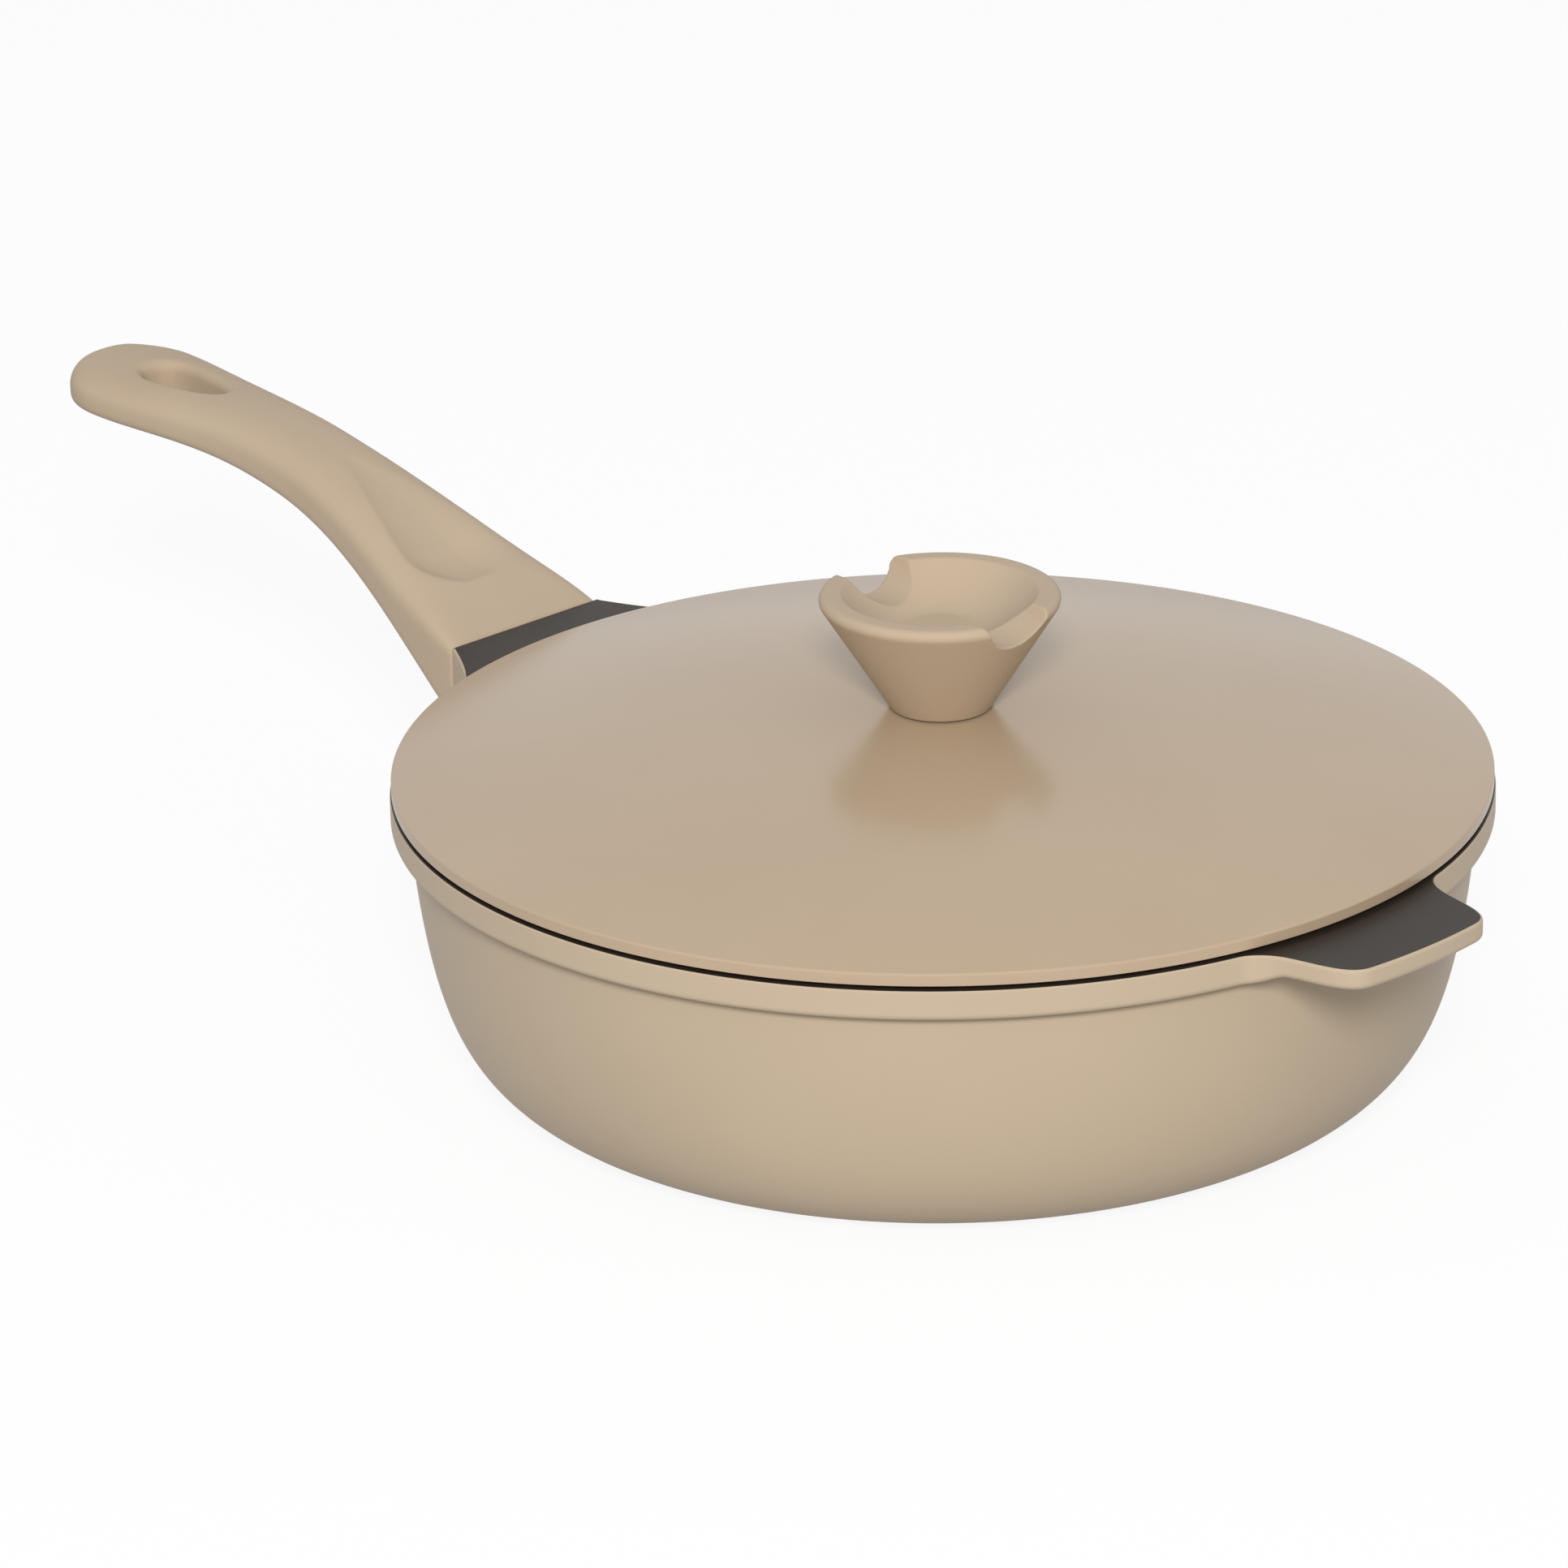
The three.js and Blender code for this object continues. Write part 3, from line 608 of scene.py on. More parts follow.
def inside_rings(rim):
    """The flat of the rim, the mouth, the inner wall and the pan's floor."""
    inner = wall_curve(WALL, PAN_FLOOR)
    mouth = [
        (RIM_RADIUS, RIM_HEIGHT, 0),
        (BORE_RADIUS, RIM_HEIGHT, BORE_ROUND),
        (BORE_RADIUS, BAND_FLOOR, 0),
    ]
    inside = rounded(mouth)[1:]
    inside += [bezier(inner, k / WALL_STEPS) for k in range(1, WALL_STEPS + 1)]
    inside += [Vector((FOOT_RADIUS * share, PAN_FLOOR)) for share in FLOOR_SHARES]
    inside.append(Vector((0, PAN_FLOOR)))
    rings = [rim.inset_ring(RIM_TOP_ROUND + EDGE_SUPPORT, rim.top)]
    rings.append(circle(RIM_RADIUS - RIM_FLAT, RIM_HEIGHT, rim.angles))
    return rings + [circle(p.x, p.y, rim.angles) for p in inside]


def pan_casting():
    """The casting, painted outside and with its dark coat from the rim's top edge inwards."""
    rim = Rim()
    wall = wall_rings(rim)
    painted = foot_rings(rim) + wall + band_rings(rim, wall[-1])
    coat = [lerp(RIM_COAT_EDGE, TAB_COAT_EDGE, max(weights)) for weights in zip(rim.tab, rim.lug)]
    level = math.pi / 2
    for turns in ([0] * rim.count, [turn / 2 for turn in coat]):
        painted.append(rim.edge_ring(turns))
    coated = []
    for turns in (coat, [(turn + level) / 2 for turn in coat], [level] * rim.count):
        coated.append(rim.edge_ring(turns))
    obj = piece_from("pan_casting", *skin(painted + coated + inside_rings(rim)))
    for material in (pan_paint, dark_coat):
        obj.data.materials.append(material)
    for face in obj.data.polygons:
        face.material_index = 1 if face.index >= rim.count * len(painted) else 0
    return obj


def add_tongue(pan):
    """The tongue belongs to the casting, so its mesh goes in with it."""
    tongue = tongue_block("tongue", 0, TONGUE_ROUND)
    with bpy.context.temp_override(active_object=pan, selected_editable_objects=[pan, tongue]):
        bpy.ops.object.join()


def base_disc():
    """The steel disc under the bowl, proud of the casting."""
    radius, top = plate_high.y, plate_high.z
    corners = [(0, 0, 0), (radius, 0, PLATE_LOW_ROUND), (radius, top, PLATE_TOP_ROUND), (0, top, 0)]
    return turned("base_disc", rounded(corners), PLATE_SIDES)


# Long handle

# The line of the handle's top, as distance from its front and height
grip_start = Vector((0, GRIP_TOP))
grip_end = Vector((GRIP_LENGTH, GRIP_TOP + GRIP_RISE))
GRIP_LINE = [
    grip_start,
    grip_start + polar(GRIP_LENGTH * GRIP_START_FULLNESS, GRIP_START_SLOPE),
    grip_end - polar(GRIP_LENGTH * GRIP_END_FULLNESS, GRIP_END_SLOPE),
    grip_end,
]


def grip_width(distance):
    """Half width at a distance from the front: flare, waist, swell and round end."""
    end_start = GRIP_LENGTH - GRIP_TIP_ROUND
    flare = min(distance / GRIP_WAIST, 1) ** FLARE_BIAS
    swell = min(max(distance - GRIP_WAIST, 0) / (end_start - GRIP_WAIST), 1) ** SWELL_BIAS
    width = lerp(GRIP_FRONT_WIDTH, GRIP_WAIST_WIDTH, smooth(flare))
    width += (GRIP_TIP_WIDTH - GRIP_WAIST_WIDTH) * smooth(swell)
    end = max(distance - end_start, 0) / GRIP_TIP_ROUND
    return width / 2 * math.sqrt(max(1 - end * end, 0))


def grip_section(distance):
    """The handle's section at a distance from the front: middle height, half width,
    and squareness and half depth above and below."""
    left = 1 - distance / GRIP_LENGTH
    depth = GRIP_TIP_DEPTH + (GRIP_FRONT_DEPTH - GRIP_TIP_DEPTH) * max(left, 0) ** DEPTH_POWER
    nose = max(distance - GRIP_LENGTH + GRIP_NOSE_ROUND, 0) / GRIP_NOSE_ROUND
    top = bezier(GRIP_LINE, share_at(GRIP_LINE, 0, distance)).y
    end = max(distance - GRIP_LENGTH + GRIP_TIP_ROUND, 0) / GRIP_TIP_ROUND
    middle = top - depth / 2 - GRIP_NOSE_DROOP * end**2
    front, upright = math.exp(-distance / SQUARE_FADE), math.exp(-distance / UNDER_FADE)
    rise = depth / 2 * math.sqrt(max(1 - nose * nose, 0))
    drop = rise * lerp(GRIP_UNDER_SHARE, 1, front)
    over = lerp(GRIP_SQUARENESS, FRONT_SQUARENESS, front), rise
    under = lerp(GRIP_UNDER_SQUARENESS, FRONT_SQUARENESS, upright), drop
    return middle, grip_width(distance), over, under


def thumb_hollow(distance, side):
    """Depth of the teardrop thumb rest at a place on the handle's top.
    Its near side is steep, its far side runs out softly."""
    if not THUMB_START < distance < THUMB_END:
        return 0.0
    if distance < THUMB_WIDEST:
        share = (THUMB_WIDEST - distance) / (THUMB_WIDEST - THUMB_START)
        width, depth = math.sqrt(1 - share**2), 1 - share**2
    else:
        share = (distance - THUMB_WIDEST) / (THUMB_END - THUMB_WIDEST)
        width, depth = 1 - share**THUMB_TAIL_WIDTH, (1 - share) ** THUMB_TAIL_DEPTH
    if side < 0:
        hollow = 1 - min(-side / (THUMB_NEAR_WIDTH * width), 1) ** 3
    else:
        hollow = (1 - min(side / (THUMB_FAR_WIDTH * width), 1) ** 2) ** 2
    return THUMB_DEPTH * depth * hollow


def grip_form():
    """The handle's outer form, from its flat front to its round tip."""
    end_start = GRIP_LENGTH - GRIP_TIP_ROUND
    stations = []
    for k in range(GRIP_EDGE_STEPS + 1):
        turn = math.pi / 2 * k / GRIP_EDGE_STEPS
        stations.append((GRIP_EDGE * (1 - math.cos(turn)), GRIP_EDGE * (1 - math.sin(turn))))
    for k in range(1, GRIP_STEPS + 1):
        stations.append((lerp(GRIP_EDGE, end_start, k / GRIP_STEPS), 0))
    for k in range(1, GRIP_TIP_STEPS):
        turn = math.pi / 2 * k / GRIP_TIP_STEPS
        stations.append((end_start + GRIP_TIP_ROUND * math.sin(turn), 0))
    rings = [[Vector((GRIP_FRONT, 0, GRIP_MIDDLE))]]
    for distance, inset in stations:
        middle, half_width, over, under = grip_section(distance)
        ring = []
        for k in range(GRIP_SIDES):
            angle = -2 * math.pi * (k + 0.5) / GRIP_SIDES
            across, up = math.cos(angle), math.sin(angle)
            power, half_depth = over if up > 0 else under
            side = (half_width - inset) * bulge(across, 2 / power)
            height = middle + (half_depth - inset) * bulge(up, 2 / power)
            if up > 0:
                height -= thumb_hollow(distance, side)
            ring.append(Vector((GRIP_FRONT - distance, side, height)))
        rings.append(ring)
    rings.append([Vector((GRIP_FRONT - GRIP_LENGTH, 0, grip_section(GRIP_LENGTH)[0]))])
    return piece_from("grip_moulding", *skin(rings))


def slot_cutter():
    """The hanging slot, a drop that is wider towards the tip, with rolled lips on both faces."""
    half = Vector((SLOT_LENGTH / 2, SLOT_WIDTH / 2))
    fullness = 2 / SLOT_SQUARENESS
    outline = []
    for angle in even_angles(SLOT_SIDES):
        way = Vector((math.cos(angle), math.sin(angle)))
        rim = Vector([h * bulge(v, fullness) for h, v in zip(half, way)])
        rim.y *= 1 - SLOT_TAPER * rim.x / half.x
        outward = Vector([bulge(v, 2 - fullness) / h for h, v in zip(half, way)]).normalized()
        outline.append((rim, outward))

    def ring(turn, far, high, upper):
        """A ring of the lip on one face of the handle, by the turn of its roll and how far it goes
        on outwards and off the face."""
        points = []
        for rim, outward in outline:
            plan = rim + outward * (SLOT_LIP * (1 - math.cos(turn)) + far)
            middle, half_width, over, under = grip_section(SLOT_CENTRE - plan.x)
            power, half_depth = over if upper else under
            crown = max(1 - abs(min(plan.y / half_width, 1)) ** power, 0) ** (1 / power)
            face = half_depth * crown - SLOT_LIP * (1 - math.sin(turn)) + high
            height = middle + (face if upper else -face)
            points.append(Vector((GRIP_FRONT - SLOT_CENTRE + plan.x, plan.y, height)))
        return points

    steps = [(SLOT_LIP_TURN * k / SLOT_LIP_STEPS, 0, 0) for k in range(SLOT_LIP_STEPS + 1)]
    steps.append((SLOT_LIP_TURN, SLOT_RUNOUT, SLOT_RUNOUT_RISE))
    steps.append((SLOT_LIP_TURN, SLOT_RUNOUT, SLOT_CUT_RISE))
    rings = [ring(*step, False) for step in reversed(steps)] + [ring(*step, True) for step in steps]
    vertices, faces = skin(rings)
    count = len(outline)
    faces.append(tuple(reversed(range(count))))
    faces.append(tuple(range(len(vertices) - count, len(vertices))))
    return piece_from("slot_cutter", vertices, faces)


def rod(name, radius, low, high, sides):
    """A plain round cutter along Z."""
    profile = [Vector((0, low)), Vector((radius, low)), Vector((radius, high)), Vector((0, high))]
    return turned(name, profile, sides)


def screw_cutter(name, radius, low, high):
    """A cutter along the handle's screw."""
    obj = rod(name, radius, low, high, SCREW_HOLE_SIDES)
    obj.data.transform(screw_frame)
    return obj


def grip_moulding():
    """The handle with its slot, the socket for the tongue and the screw's hole and seat."""
    obj = grip_form()
    below = washer_seat - GRIP_FRONT_DEPTH
    carve(
        obj,
        slot_cutter(),
        tongue_block("socket_cutter", SEAT_GAP, 0),
        screw_cutter("shank_cutter", SCREW_HOLE, below, 0),
        screw_cutter("head_cutter", GRIP_WASHER_RADIUS + SEAT_GAP, below, washer_seat),
    )
    soften(obj, GRIP_FACE, GRIP_SOFTENING)
    return obj


# Lid

def lid_dome():
    """The domed lid with its skirt, its stepped edge and the screw's hole."""
    dome_end = LID_RADIUS - LID_EDGE_ROUND
    rise = LID_PAD - (LID_SEAT + LID_EDGE)
    step = LID_RADIUS - LID_EDGE_REACH
    lift = LID_SEAT + LID_EDGE_LIFT
    skirt_outer = BORE_RADIUS - SKIRT_CLEARANCE
    skirt_inner = skirt_outer - SKIRT_THICKNESS
    skirt_floor = LID_SEAT - SKIRT_DEPTH
    ceiling = LID_PAD - LID_THICKNESS

    def fall(radius):
        """How far the dome has come down at a radius."""
        return rise * (max(radius - PAD_RADIUS, 0) / (dome_end - PAD_RADIUS)) ** 2

    def sweep(start, end, steps):
        """Even steps from start to end, both included."""
        return [lerp(start, end, k / steps) for k in range(steps + 1)]

    under = sweep(PAD_RADIUS, skirt_inner - LID_UNDER_MARGIN, LID_UNDER_STEPS)
    over = sweep(LID_RADIUS - LID_OVER_MARGIN, PAD_RADIUS, LID_OVER_STEPS)
    corners = [(SCREW_HOLE, ceiling, LID_HOLE_ROUND)]
    corners += [(r, ceiling - fall(r), 0) for r in under]
    corners += [
        (skirt_inner, ceiling - fall(skirt_inner), SKIRT_ROOT_ROUND),
        (skirt_inner, skirt_floor, SKIRT_EDGE_ROUND),
        (skirt_outer, skirt_floor, SKIRT_EDGE_ROUND),
        (skirt_outer, LID_SEAT, SKIRT_SEAT_ROUND),
        (step, LID_SEAT, LID_STEP_ROUND),
        (step, lift, LID_STEP_ROUND),
        (LID_RADIUS, lift, LID_LOW_ROUND),
        (LID_RADIUS, LID_PAD - fall(LID_RADIUS), LID_EDGE_ROUND),
    ]
    corners += [(r, LID_PAD - fall(r), 0) for r in over]
    corners.append((SCREW_HOLE, LID_PAD, LID_HOLE_ROUND))
    return turned("lid_dome", rounded(corners, closed=True), LID_SIDES, closed=True)


def spoon_groove():
    """A rod that cuts the groove across the knob's top.
    The groove is a little turned, as the lid lies where one put it down."""
    half = 1.5 * KNOB_RADIUS
    obj = rod("groove_cutter", GROOVE_RADIUS, -half, half, GROOVE_SIDES)
    axis = Matrix.Translation((0, 0, KNOB_TOP - GROOVE_DEPTH + GROOVE_RADIUS))
    obj.data.transform(Matrix.Rotation(math.pi / 2, 4, "Y"))
    obj.data.transform(axis @ Matrix.Rotation(GROOVE_TURN, 4, "Z"))
    return obj


def knob_moulding():
    """A flared cone on a small foot, with a dish and the spoon groove on top."""
    def cone_radius(height):
        """The cone's radius at a height."""
        return KNOB_FOOT_RADIUS + (height - KNOB_FOOT) / CONE_SLOPE

    pocket = KNOB_FOOT + BUSH_POCKET
    seal_pocket = gasket_high.y + SEAT_GAP
    corners = [
        (0, pocket, 0),
        (BUSH_HOLE, pocket, BUSH_POCKET_ROUND),
        (BUSH_HOLE, KNOB_FOOT, BUSH_POCKET_ROUND),
        (seal_pocket, KNOB_FOOT, SEAL_POCKET_ROUND),
        (seal_pocket, KNOB_SKIRT, SEAL_POCKET_ROUND),
        (cone_radius(KNOB_SKIRT), KNOB_SKIRT, KNOB_FOOT_ROUND),
        (cone_radius(KNOB_TOP), KNOB_TOP, KNOB_LIP_ROUND),
        (LIP_INNER, KNOB_TOP, LIP_INNER_ROUND),
    ]
    for k in range(1, DISH_STEPS + 1):
        share = 1 - k / DISH_STEPS
        radius = lerp(DISH_FLOOR_RADIUS, LIP_INNER, share)
        corners.append((radius, KNOB_TOP - DISH_DEPTH * (1 - share**DISH_CURVE), 0))
    corners.append((0, KNOB_TOP - DISH_DEPTH, 0))
    obj = turned("knob_moulding", rounded(corners), KNOB_SIDES)
    carve(obj, spoon_groove())
    soften(obj, KNOB_FACE, KNOB_SOFTENING)
    return obj


# Fasteners and seal

def flat_ring(name, radius, floor, ceiling, edge):
    """A washer or seal round a screw, with its edges rounded."""
    corners = [
        (SCREW_HOLE, floor, edge),
        (radius, floor, edge),
        (radius, ceiling, edge),
        (SCREW_HOLE, ceiling, edge),
    ]
    return turned(name, rounded(corners, closed=True), RING_SIDES, closed=True)


def screw(name, head_floor, end):
    """A screw along Z with its head downwards and a cross recess in it."""
    shoulder = head_floor + HEAD_HEIGHT
    corners = [
        (0, head_floor, 0),
        (HEAD_RADIUS, head_floor + HEAD_CROWN, HEAD_ROUND),
        (HEAD_RADIUS, shoulder, SHOULDER_ROUND),
        (SCREW_RADIUS, shoulder, NECK_ROUND),
        (SCREW_RADIUS, end, SCREW_END_ROUND),
        (0, end, 0),
    ]
    obj = turned(name, rounded(corners), SCREW_SIDES)
    long, wide = DRIVE_LENGTH / 2, DRIVE_WIDTH / 2
    low, high = head_floor - DRIVE_DEPTH, head_floor + DRIVE_DEPTH
    carve(
        obj,
        block("drive_a", Vector((-long, -wide, low)), Vector((long, wide, high)), 0),
        block("drive_b", Vector((-wide, -long, low)), Vector((wide, long, high)), 0),
    )
    obj.data.shade_smooth()
    obj.data.set_sharp_from_angle(angle=CREASE)
    return obj


def grip_fasteners():
    """The handle's screw and lock washer, in the screw's own frame under the tongue."""
    top = washer_seat - SEAT_GAP
    floor = top - GRIP_WASHER_THICKNESS
    head_floor = floor - SEAT_GAP - HEAD_HEIGHT
    bolt = screw("grip_bolt", head_floor, TONGUE_THICKNESS / 2 - GRIP_SCREW_COVER)
    washer = flat_ring("grip_lock_washer", GRIP_WASHER_RADIUS, floor, top, GRIP_WASHER_ROUND)
    for obj in (bolt, washer):
        obj.data.transform(screw_frame)
    return bolt, washer


# Finishes

def srgb(red, green, blue):
    """A colour as it shows on screen, 0 to 255, in the shader's numbers."""
    shares = [v / 255 for v in (red, green, blue)]
    return (*[s / 12.92 if s <= 0.04045 else ((s + 0.055) / 1.055) ** 2.4 for s in shares], 1.0)


def new_group(name, inputs, outputs):
    """An empty shared group with its sockets."""
    tree = bpy.data.node_groups.new(name, "ShaderNodeTree")
    for label, kind in inputs:
        tree.interface.new_socket(label, in_out="INPUT", socket_type=kind)
    for label, kind in outputs:
        tree.interface.new_socket(label, in_out="OUTPUT", socket_type=kind)
    return tree, tree.nodes.new("NodeGroupInput"), tree.nodes.new("NodeGroupOutput")


def tone_group():
    """Slow drift of a colour over the surface, with fine flecks."""
    colour, number = "NodeSocketColor", "NodeSocketFloat"
    tree, take, give = new_group(
        "tone_drift",
        [
            ("Colour", colour),
            ("Shade", colour),
            ("Drift Scale", number),
            ("Fleck Scale", number),
            ("Fleck", number),
        ],
        [("Colour", colour)],
    )
    where = tree.nodes.new("ShaderNodeTexCoord")
    drift = tree.nodes.new("ShaderNodeTexNoise")
    drift.inputs["Detail"].default_value = 3
    fleck = tree.nodes.new("ShaderNodeTexNoise")
    fleck.inputs["Detail"].default_value = 2
    spread = tree.nodes.new("ShaderNodeMapRange")
    spread.inputs["From Min"].default_value = 0.35
    spread.inputs["From Max"].default_value = 0.65
    centre = tree.nodes.new("ShaderNodeMath")
    centre.operation = "SUBTRACT"
    centre.inputs[1].default_value = 0.5
    weigh = tree.nodes.new("ShaderNodeMath")
    weigh.operation = "MULTIPLY_ADD"
    weigh.use_clamp = True
    mix = tree.nodes.new("ShaderNodeMix")
    mix.data_type = "RGBA"
    link = tree.links.new
    for noise, scale in ((drift, "Drift Scale"), (fleck, "Fleck Scale")):
        link(where.outputs["Object"], noise.inputs["Vector"])
        link(take.outputs[scale], noise.inputs["Scale"])
    link(drift.outputs["Fac"], spread.inputs["Value"])
    link(fleck.outputs["Fac"], centre.inputs[0])
    link(centre.outputs[0], weigh.inputs[0])
    link(take.outputs["Fleck"], weigh.inputs[1])
    link(spread.outputs["Result"], weigh.inputs[2])
    link(weigh.outputs[0], mix.inputs["Factor"])
    link(take.outputs["Colour"], mix.inputs["A"])
    link(take.outputs["Shade"], mix.inputs["B"])
    link(mix.outputs["Result"], give.inputs["Colour"])
    return tree


def grain_group():
    """Fine grain: the height of its bumps and how it changes the gloss."""
    number = "NodeSocketFloat"
    tree, take, give = new_group(
        "fine_grain",
        [("Scale", number), ("Smoothest", number), ("Roughest", number)],
        [("Height", number), ("Roughness", number)],
    )
    where = tree.nodes.new("ShaderNodeTexCoord")
    noise = tree.nodes.new("ShaderNodeTexNoise")
    noise.inputs["Detail"].default_value = 4
    noise.inputs["Roughness"].default_value = 0.6
    gloss = tree.nodes.new("ShaderNodeMapRange")
    gloss.inputs["From Min"].default_value = 0.3
    gloss.inputs["From Max"].default_value = 0.7
    link = tree.links.new
    link(where.outputs["Object"], noise.inputs["Vector"])
    link(take.outputs["Scale"], noise.inputs["Scale"])
    link(noise.outputs["Fac"], gloss.inputs["Value"])
    link(take.outputs["Smoothest"], gloss.inputs["To Min"])
    link(take.outputs["Roughest"], gloss.inputs["To Max"])
    link(noise.outputs["Fac"], give.inputs["Height"])
    link(gloss.outputs["Result"], give.inputs["Roughness"])
    return tree


tone_drift = tone_group()
fine_grain = grain_group()


def finish(name, colour, shade, drift, fleck, grain, bump, metallic=0.0, sheen=0.5):
    """A finish from the two shared groups.
    Drift is a scale, fleck a scale and a strength, grain a scale with the smoothest and the
    roughest gloss, and bump the height of the grain."""
    material = bpy.data.materials.new(name)
    material.use_nodes = True
    nodes, link = material.node_tree.nodes, material.node_tree.links.new
    shader = nodes["Principled BSDF"]
    shader.inputs["Metallic"].default_value = metallic
    shader.inputs["Specular IOR Level"].default_value = sheen
    tone = nodes.new("ShaderNodeGroup")
    tone.node_tree = tone_drift
    tone.inputs["Colour"].default_value = colour
    tone.inputs["Shade"].default_value = shade
    tone.inputs["Drift Scale"].default_value = drift
    tone.inputs["Fleck Scale"].default_value = fleck[0]
    tone.inputs["Fleck"].default_value = fleck[1]
    fine = nodes.new("ShaderNodeGroup")
    fine.node_tree = fine_grain
    fine.inputs["Scale"].default_value = grain[0]
    fine.inputs["Smoothest"].default_value = grain[1]
    fine.inputs["Roughest"].default_value = grain[2]
    relief = nodes.new("ShaderNodeBump")
    relief.inputs["Strength"].default_value = 1.0
    relief.inputs["Distance"].default_value = bump
    link(tone.outputs["Colour"], shader.inputs["Base Color"])
    link(fine.outputs["Roughness"], shader.inputs["Roughness"])
    link(fine.outputs["Height"], relief.inputs["Height"])
    link(relief.outputs["Normal"], shader.inputs["Normal"])
    return material


def turn_lines(material, shade, scale, depth):
    """Rings left by the lathe on a turned face, in its tone and its relief."""
    nodes, link = material.node_tree.nodes, material.node_tree.links.new
    where = nodes.new("ShaderNodeTexCoord")
    flat = nodes.new("ShaderNodeVectorMath")
    flat.operation = "MULTIPLY"
    flat.inputs[1].default_value = (1, 1, 0)
    reach = nodes.new("ShaderNodeVectorMath")
    reach.operation = "LENGTH"
    rings = nodes.new("ShaderNodeTexNoise")
    rings.noise_dimensions = "1D"
    rings.inputs["Scale"].default_value = scale
    rings.inputs["Detail"].default_value = 5
    shader = nodes["Principled BSDF"]
    plain = shader.inputs["Base Color"].links[0].from_socket
    spread = nodes.new("ShaderNodeMapRange")
    spread.inputs["From Min"].default_value = 0.35
    spread.inputs["From Max"].default_value = 0.65
    tone = nodes.new("ShaderNodeMix")
    tone.data_type = "RGBA"
    tone.inputs["B"].default_value = shade
    relief = nodes["Bump"]
    cut = nodes.new("ShaderNodeBump")
    cut.inputs["Distance"].default_value = depth
    link(where.outputs["Object"], flat.inputs[0])
    link(flat.outputs["Vector"], reach.inputs[0])
    link(reach.outputs["Value"], rings.inputs["W"])
    link(rings.outputs["Fac"], cut.inputs["Height"])
    link(rings.outputs["Fac"], spread.inputs["Value"])
    link(spread.outputs["Result"], tone.inputs["Factor"])
    link(plain, tone.inputs["A"])
    link(tone.outputs["Result"], shader.inputs["Base Color"])
    link(cut.outputs["Normal"], relief.inputs["Normal"])


pan_paint = finish(
    "pan_paint",
    srgb(187, 169, 145),
    srgb(184, 166, 142),
    drift=14,
    fleck=(900, 0.5),
    grain=(2200, 0.4, 0.46),
    bump=0.004 * MM,
    sheen=0.3,
)
# The same beige paint as the pan's, with a satin gloss. Its colour is set a little darker than the
# pan's: painted shade on the upward-facing dome, which the lamps light more than the bowl's sides.
lid_paint = finish(
    "lid_paint",
    srgb(179, 158, 132),
    srgb(177, 155, 129),
    drift=14,
    fleck=(900, 0.5),
    grain=(2200, 0.2, 0.25),
    bump=0.001 * MM,
)
dark_coat = finish(
    "dark_coat",
    srgb(44, 37, 31),
    srgb(40, 33, 27),
    drift=20,
    fleck=(1600, 1.2),
    grain=(2600, 0.32, 0.4),
    bump=0.003 * MM,
    sheen=0.14,
)
soft_touch = finish(
    "soft_touch",
    srgb(184, 165, 141),
    srgb(181, 161, 137),
    drift=18,
    fleck=(1100, 0.6),
    grain=(1800, 0.56, 0.66),
    bump=0.012 * MM,
)
plate_steel = finish(
    "plate_steel",
    srgb(178, 176, 172),
    srgb(174, 172, 168),
    drift=30,
    fleck=(700, 0.6),
    grain=(900, 0.3, 0.42),
    bump=0.004 * MM,
    metallic=1.0,
)
turn_lines(plate_steel, srgb(150, 148, 144), scale=420, depth=0.03 * MM)
bolt_steel = finish(
    "bolt_steel",
    srgb(186, 185, 182),
    srgb(168, 167, 164),
    drift=160,
    fleck=(1500, 0.6),
    grain=(2400, 0.26, 0.4),
    bump=0.004 * MM,
    metallic=1.0,
)
bush_brass = finish(
    "bush_brass",
    srgb(190, 155, 90),
    srgb(170, 136, 74),
    drift=160,
    fleck=(1500, 0.6),
    grain=(2400, 0.3, 0.45),
    bump=0.004 * MM,
    metallic=1.0,
)
silicone = finish(
    "silicone",
    srgb(48, 42, 37),
    srgb(40, 35, 31),
    drift=120,
    fleck=(1500, 0.8),
    grain=(2600, 0.55, 0.7),
    bump=0.008 * MM,
)


def place(obj, body, slot, node, *materials):
    """Puts a finished piece in the frame in place of a solid."""
    for material in materials:
        obj.data.materials.append(material)
    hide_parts(node)
    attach(obj, body)


pan = pan_casting()
add_tongue(pan)
place(pan, "pan", "pan_coat", "pan_body")
place(base_disc(), "pan", "base_steel", "base_plate", plate_steel)
place(grip_moulding(), "pan", "soft_touch", "handle_grip", soft_touch)
grip_bolt, grip_lock_washer = grip_fasteners()
place(grip_bolt, "pan", "fastener_steel", "handle_screw", bolt_steel)
place(grip_lock_washer, "pan", "fastener_steel", "handle_washer", bolt_steel)

place(lid_dome(), "lid", "lid_coat", "lid_plate", lid_paint)
place(knob_moulding(), "lid", "soft_touch", "lid_knob", soft_touch)
seal = flat_ring("foot_seal", gasket_high.y, gasket_low.z, gasket_high.z, SEAL_ROUND)
place(seal, "lid", "gasket_rubber", "knob_gasket", silicone)
knob_bolt = screw("knob_bolt", knob_screw_low.z, knob_screw_high.z)
place(knob_bolt, "lid", "fastener_steel", "knob_screw", bolt_steel)
knob_flat_washer = flat_ring(
    "knob_flat_washer", knob_washer_high.y, knob_washer_low.z, knob_washer_high.z, KNOB_WASHER_ROUND
)
place(knob_flat_washer, "lid", "fastener_steel", "knob_washer", bolt_steel)

# The bush inside the knob keeps its solid and only gets its finish
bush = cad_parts["knob_insert"]
bush.data.materials.clear()
bush.data.materials.append(bush_brass)

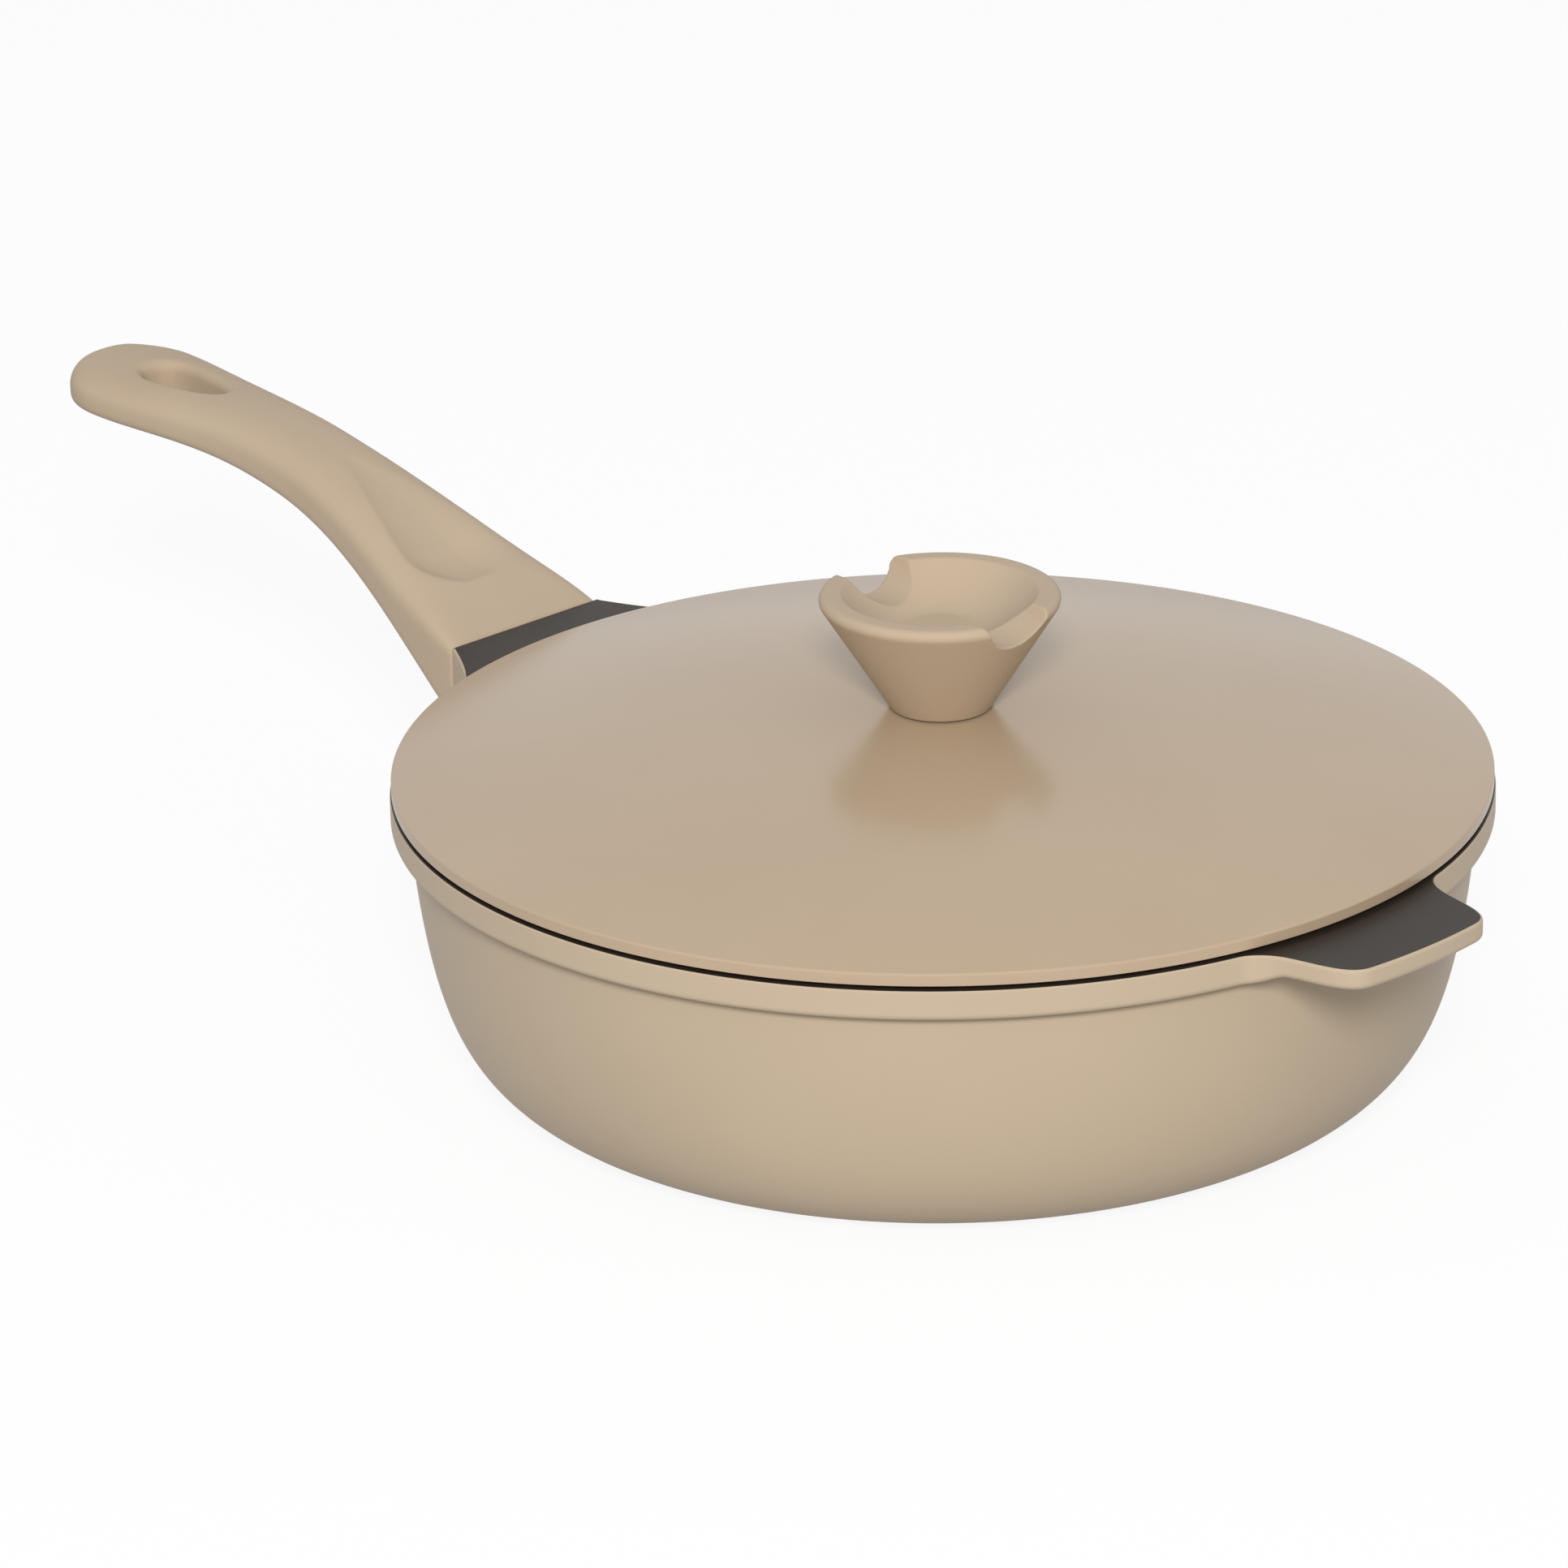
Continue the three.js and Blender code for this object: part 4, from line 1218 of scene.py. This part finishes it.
# Camera, fitted to the photograph
VIEW_AZIMUTH = math.radians(46.35)
VIEW_HEIGHT = math.radians(21.474)
VIEW_DISTANCE = 1932.62 * MM
VIEW_SIDE = -40.073 * MM
VIEW_LIFT = 69.632 * MM
VIEW_ROLL = math.radians(-1.1092)
VIEW_LENS = 172.36
VIEW_SENSOR = 36
VIEW_REACH = 50


def direction(azimuth, height):
    """A unit direction from the pan, by compass angle and height angle."""
    level = math.cos(height)
    return Vector((math.sin(azimuth) * level, -math.cos(azimuth) * level, math.sin(height)))


right = Vector((math.cos(VIEW_AZIMUTH), math.sin(VIEW_AZIMUTH), 0))
back = direction(VIEW_AZIMUTH, VIEW_HEIGHT)
up = back.cross(right)
eye = right * VIEW_SIDE + up * VIEW_LIFT + back * VIEW_DISTANCE
across = right * math.cos(VIEW_ROLL) + up * math.sin(VIEW_ROLL)
upward = up * math.cos(VIEW_ROLL) - right * math.sin(VIEW_ROLL)
lens = bpy.data.cameras.new("studio_camera")
lens.lens = VIEW_LENS
lens.sensor_width = VIEW_SENSOR
lens.clip_end = VIEW_REACH
camera = bpy.data.objects.new("studio_camera", lens)
camera.matrix_world = Matrix((
    (across.x, upward.x, back.x, eye.x),
    (across.y, upward.y, back.y, eye.y),
    (across.z, upward.z, back.z, eye.z),
    (0, 0, 0, 1),
))
bpy.context.scene.collection.objects.link(camera)
bpy.context.scene.camera = camera


# Studio
LAMP_AZIMUTH = math.radians(45)
LAMP_HEIGHT = math.radians(32)
LAMP_DISTANCE = 4
LAMP_SIZE = 0.9
LAMP_POWER = 131
SURROUND_STRENGTH = 0.49
FLOOR_RADII = (0.5, 1, 2, 4, 8)
FLOOR_SIDES = 96
FLOOR_LIT_TONE = (0.5, 0.5, 0.5, 1)
FLOOR_SEEN_TONE = (0.95, 0.95, 0.95, 1)
FLOOR_GLOW_SHARE = 0.9


def soft_box(name):
    """A round soft lamp that faces the pan.
    The gloss mirrors the white surround, not the lamp, so that no view of the lid clips."""
    lamp = bpy.data.lights.new(name, "AREA")
    lamp.shape = "DISK"
    lamp.size = LAMP_SIZE
    lamp.energy = LAMP_POWER
    obj = bpy.data.objects.new(name, lamp)
    way = direction(LAMP_AZIMUTH, LAMP_HEIGHT)
    obj.location = way * LAMP_DISTANCE
    obj.visible_glossy = False
    obj.rotation_euler = way.to_track_quat("Z", "Y").to_euler()
    bpy.context.scene.collection.objects.link(obj)


soft_box("front_box")


def white_world(strength):
    """Even light all round, and plain white where the camera or a reflection meets it."""
    world = bpy.data.worlds.new("studio_world")
    world.use_nodes = True
    nodes, link = world.node_tree.nodes, world.node_tree.links.new
    surround = nodes["Background"]
    surround.inputs["Color"].default_value = (1, 1, 1, 1)
    surround.inputs["Strength"].default_value = strength
    seen = nodes.new("ShaderNodeBackground")
    seen.inputs["Color"].default_value = (1, 1, 1, 1)
    seen.inputs["Strength"].default_value = 1
    path = nodes.new("ShaderNodeLightPath")
    shown = nodes.new("ShaderNodeMath")
    shown.operation = "MAXIMUM"
    mix = nodes.new("ShaderNodeMixShader")
    link(path.outputs["Is Camera Ray"], shown.inputs[0])
    link(path.outputs["Is Glossy Ray"], shown.inputs[1])
    link(shown.outputs[0], mix.inputs[0])
    link(surround.outputs[0], mix.inputs[1])
    link(seen.outputs[0], mix.inputs[2])
    link(mix.outputs[0], nodes["World Output"].inputs["Surface"])
    bpy.context.scene.world = world


white_world(SURROUND_STRENGTH)


def floor_sheet():
    """A wide white floor that still takes the pan's shadow."""
    angles = even_angles(FLOOR_SIDES)
    rings = [[Vector((0, 0, 0))]] + [circle(r, 0, angles) for r in FLOOR_RADII]
    obj = piece_from("floor_sheet", *skin(list(reversed(rings))))
    material = bpy.data.materials.new("white_floor")
    material.use_nodes = True
    nodes, link = material.node_tree.nodes, material.node_tree.links.new
    shader = nodes["Principled BSDF"]
    shader.inputs["Roughness"].default_value = 0.9
    shader.inputs["Specular IOR Level"].default_value = 0
    path = nodes.new("ShaderNodeLightPath")
    tint = nodes.new("ShaderNodeMix")
    tint.data_type = "RGBA"
    tint.inputs["A"].default_value = FLOOR_LIT_TONE
    tint.inputs["B"].default_value = FLOOR_SEEN_TONE
    shown = nodes.new("ShaderNodeMath")
    shown.operation = "MAXIMUM"
    glow = nodes.new("ShaderNodeEmission")
    glow.inputs["Strength"].default_value = 1
    share = nodes.new("ShaderNodeMath")
    share.operation = "MULTIPLY"
    share.inputs[1].default_value = FLOOR_GLOW_SHARE
    mix = nodes.new("ShaderNodeMixShader")
    link(path.outputs["Is Camera Ray"], shown.inputs[0])
    link(path.outputs["Is Glossy Ray"], shown.inputs[1])
    link(shown.outputs[0], tint.inputs["Factor"])
    link(tint.outputs["Result"], shader.inputs["Base Color"])
    link(path.outputs["Is Camera Ray"], share.inputs[0])
    link(share.outputs[0], mix.inputs[0])
    link(shader.outputs[0], mix.inputs[1])
    link(glow.outputs[0], mix.inputs[2])
    link(mix.outputs[0], nodes["Material Output"].inputs["Surface"])
    obj.data.materials.append(material)


floor_sheet()
bpy.context.scene.view_settings.view_transform = "Standard"
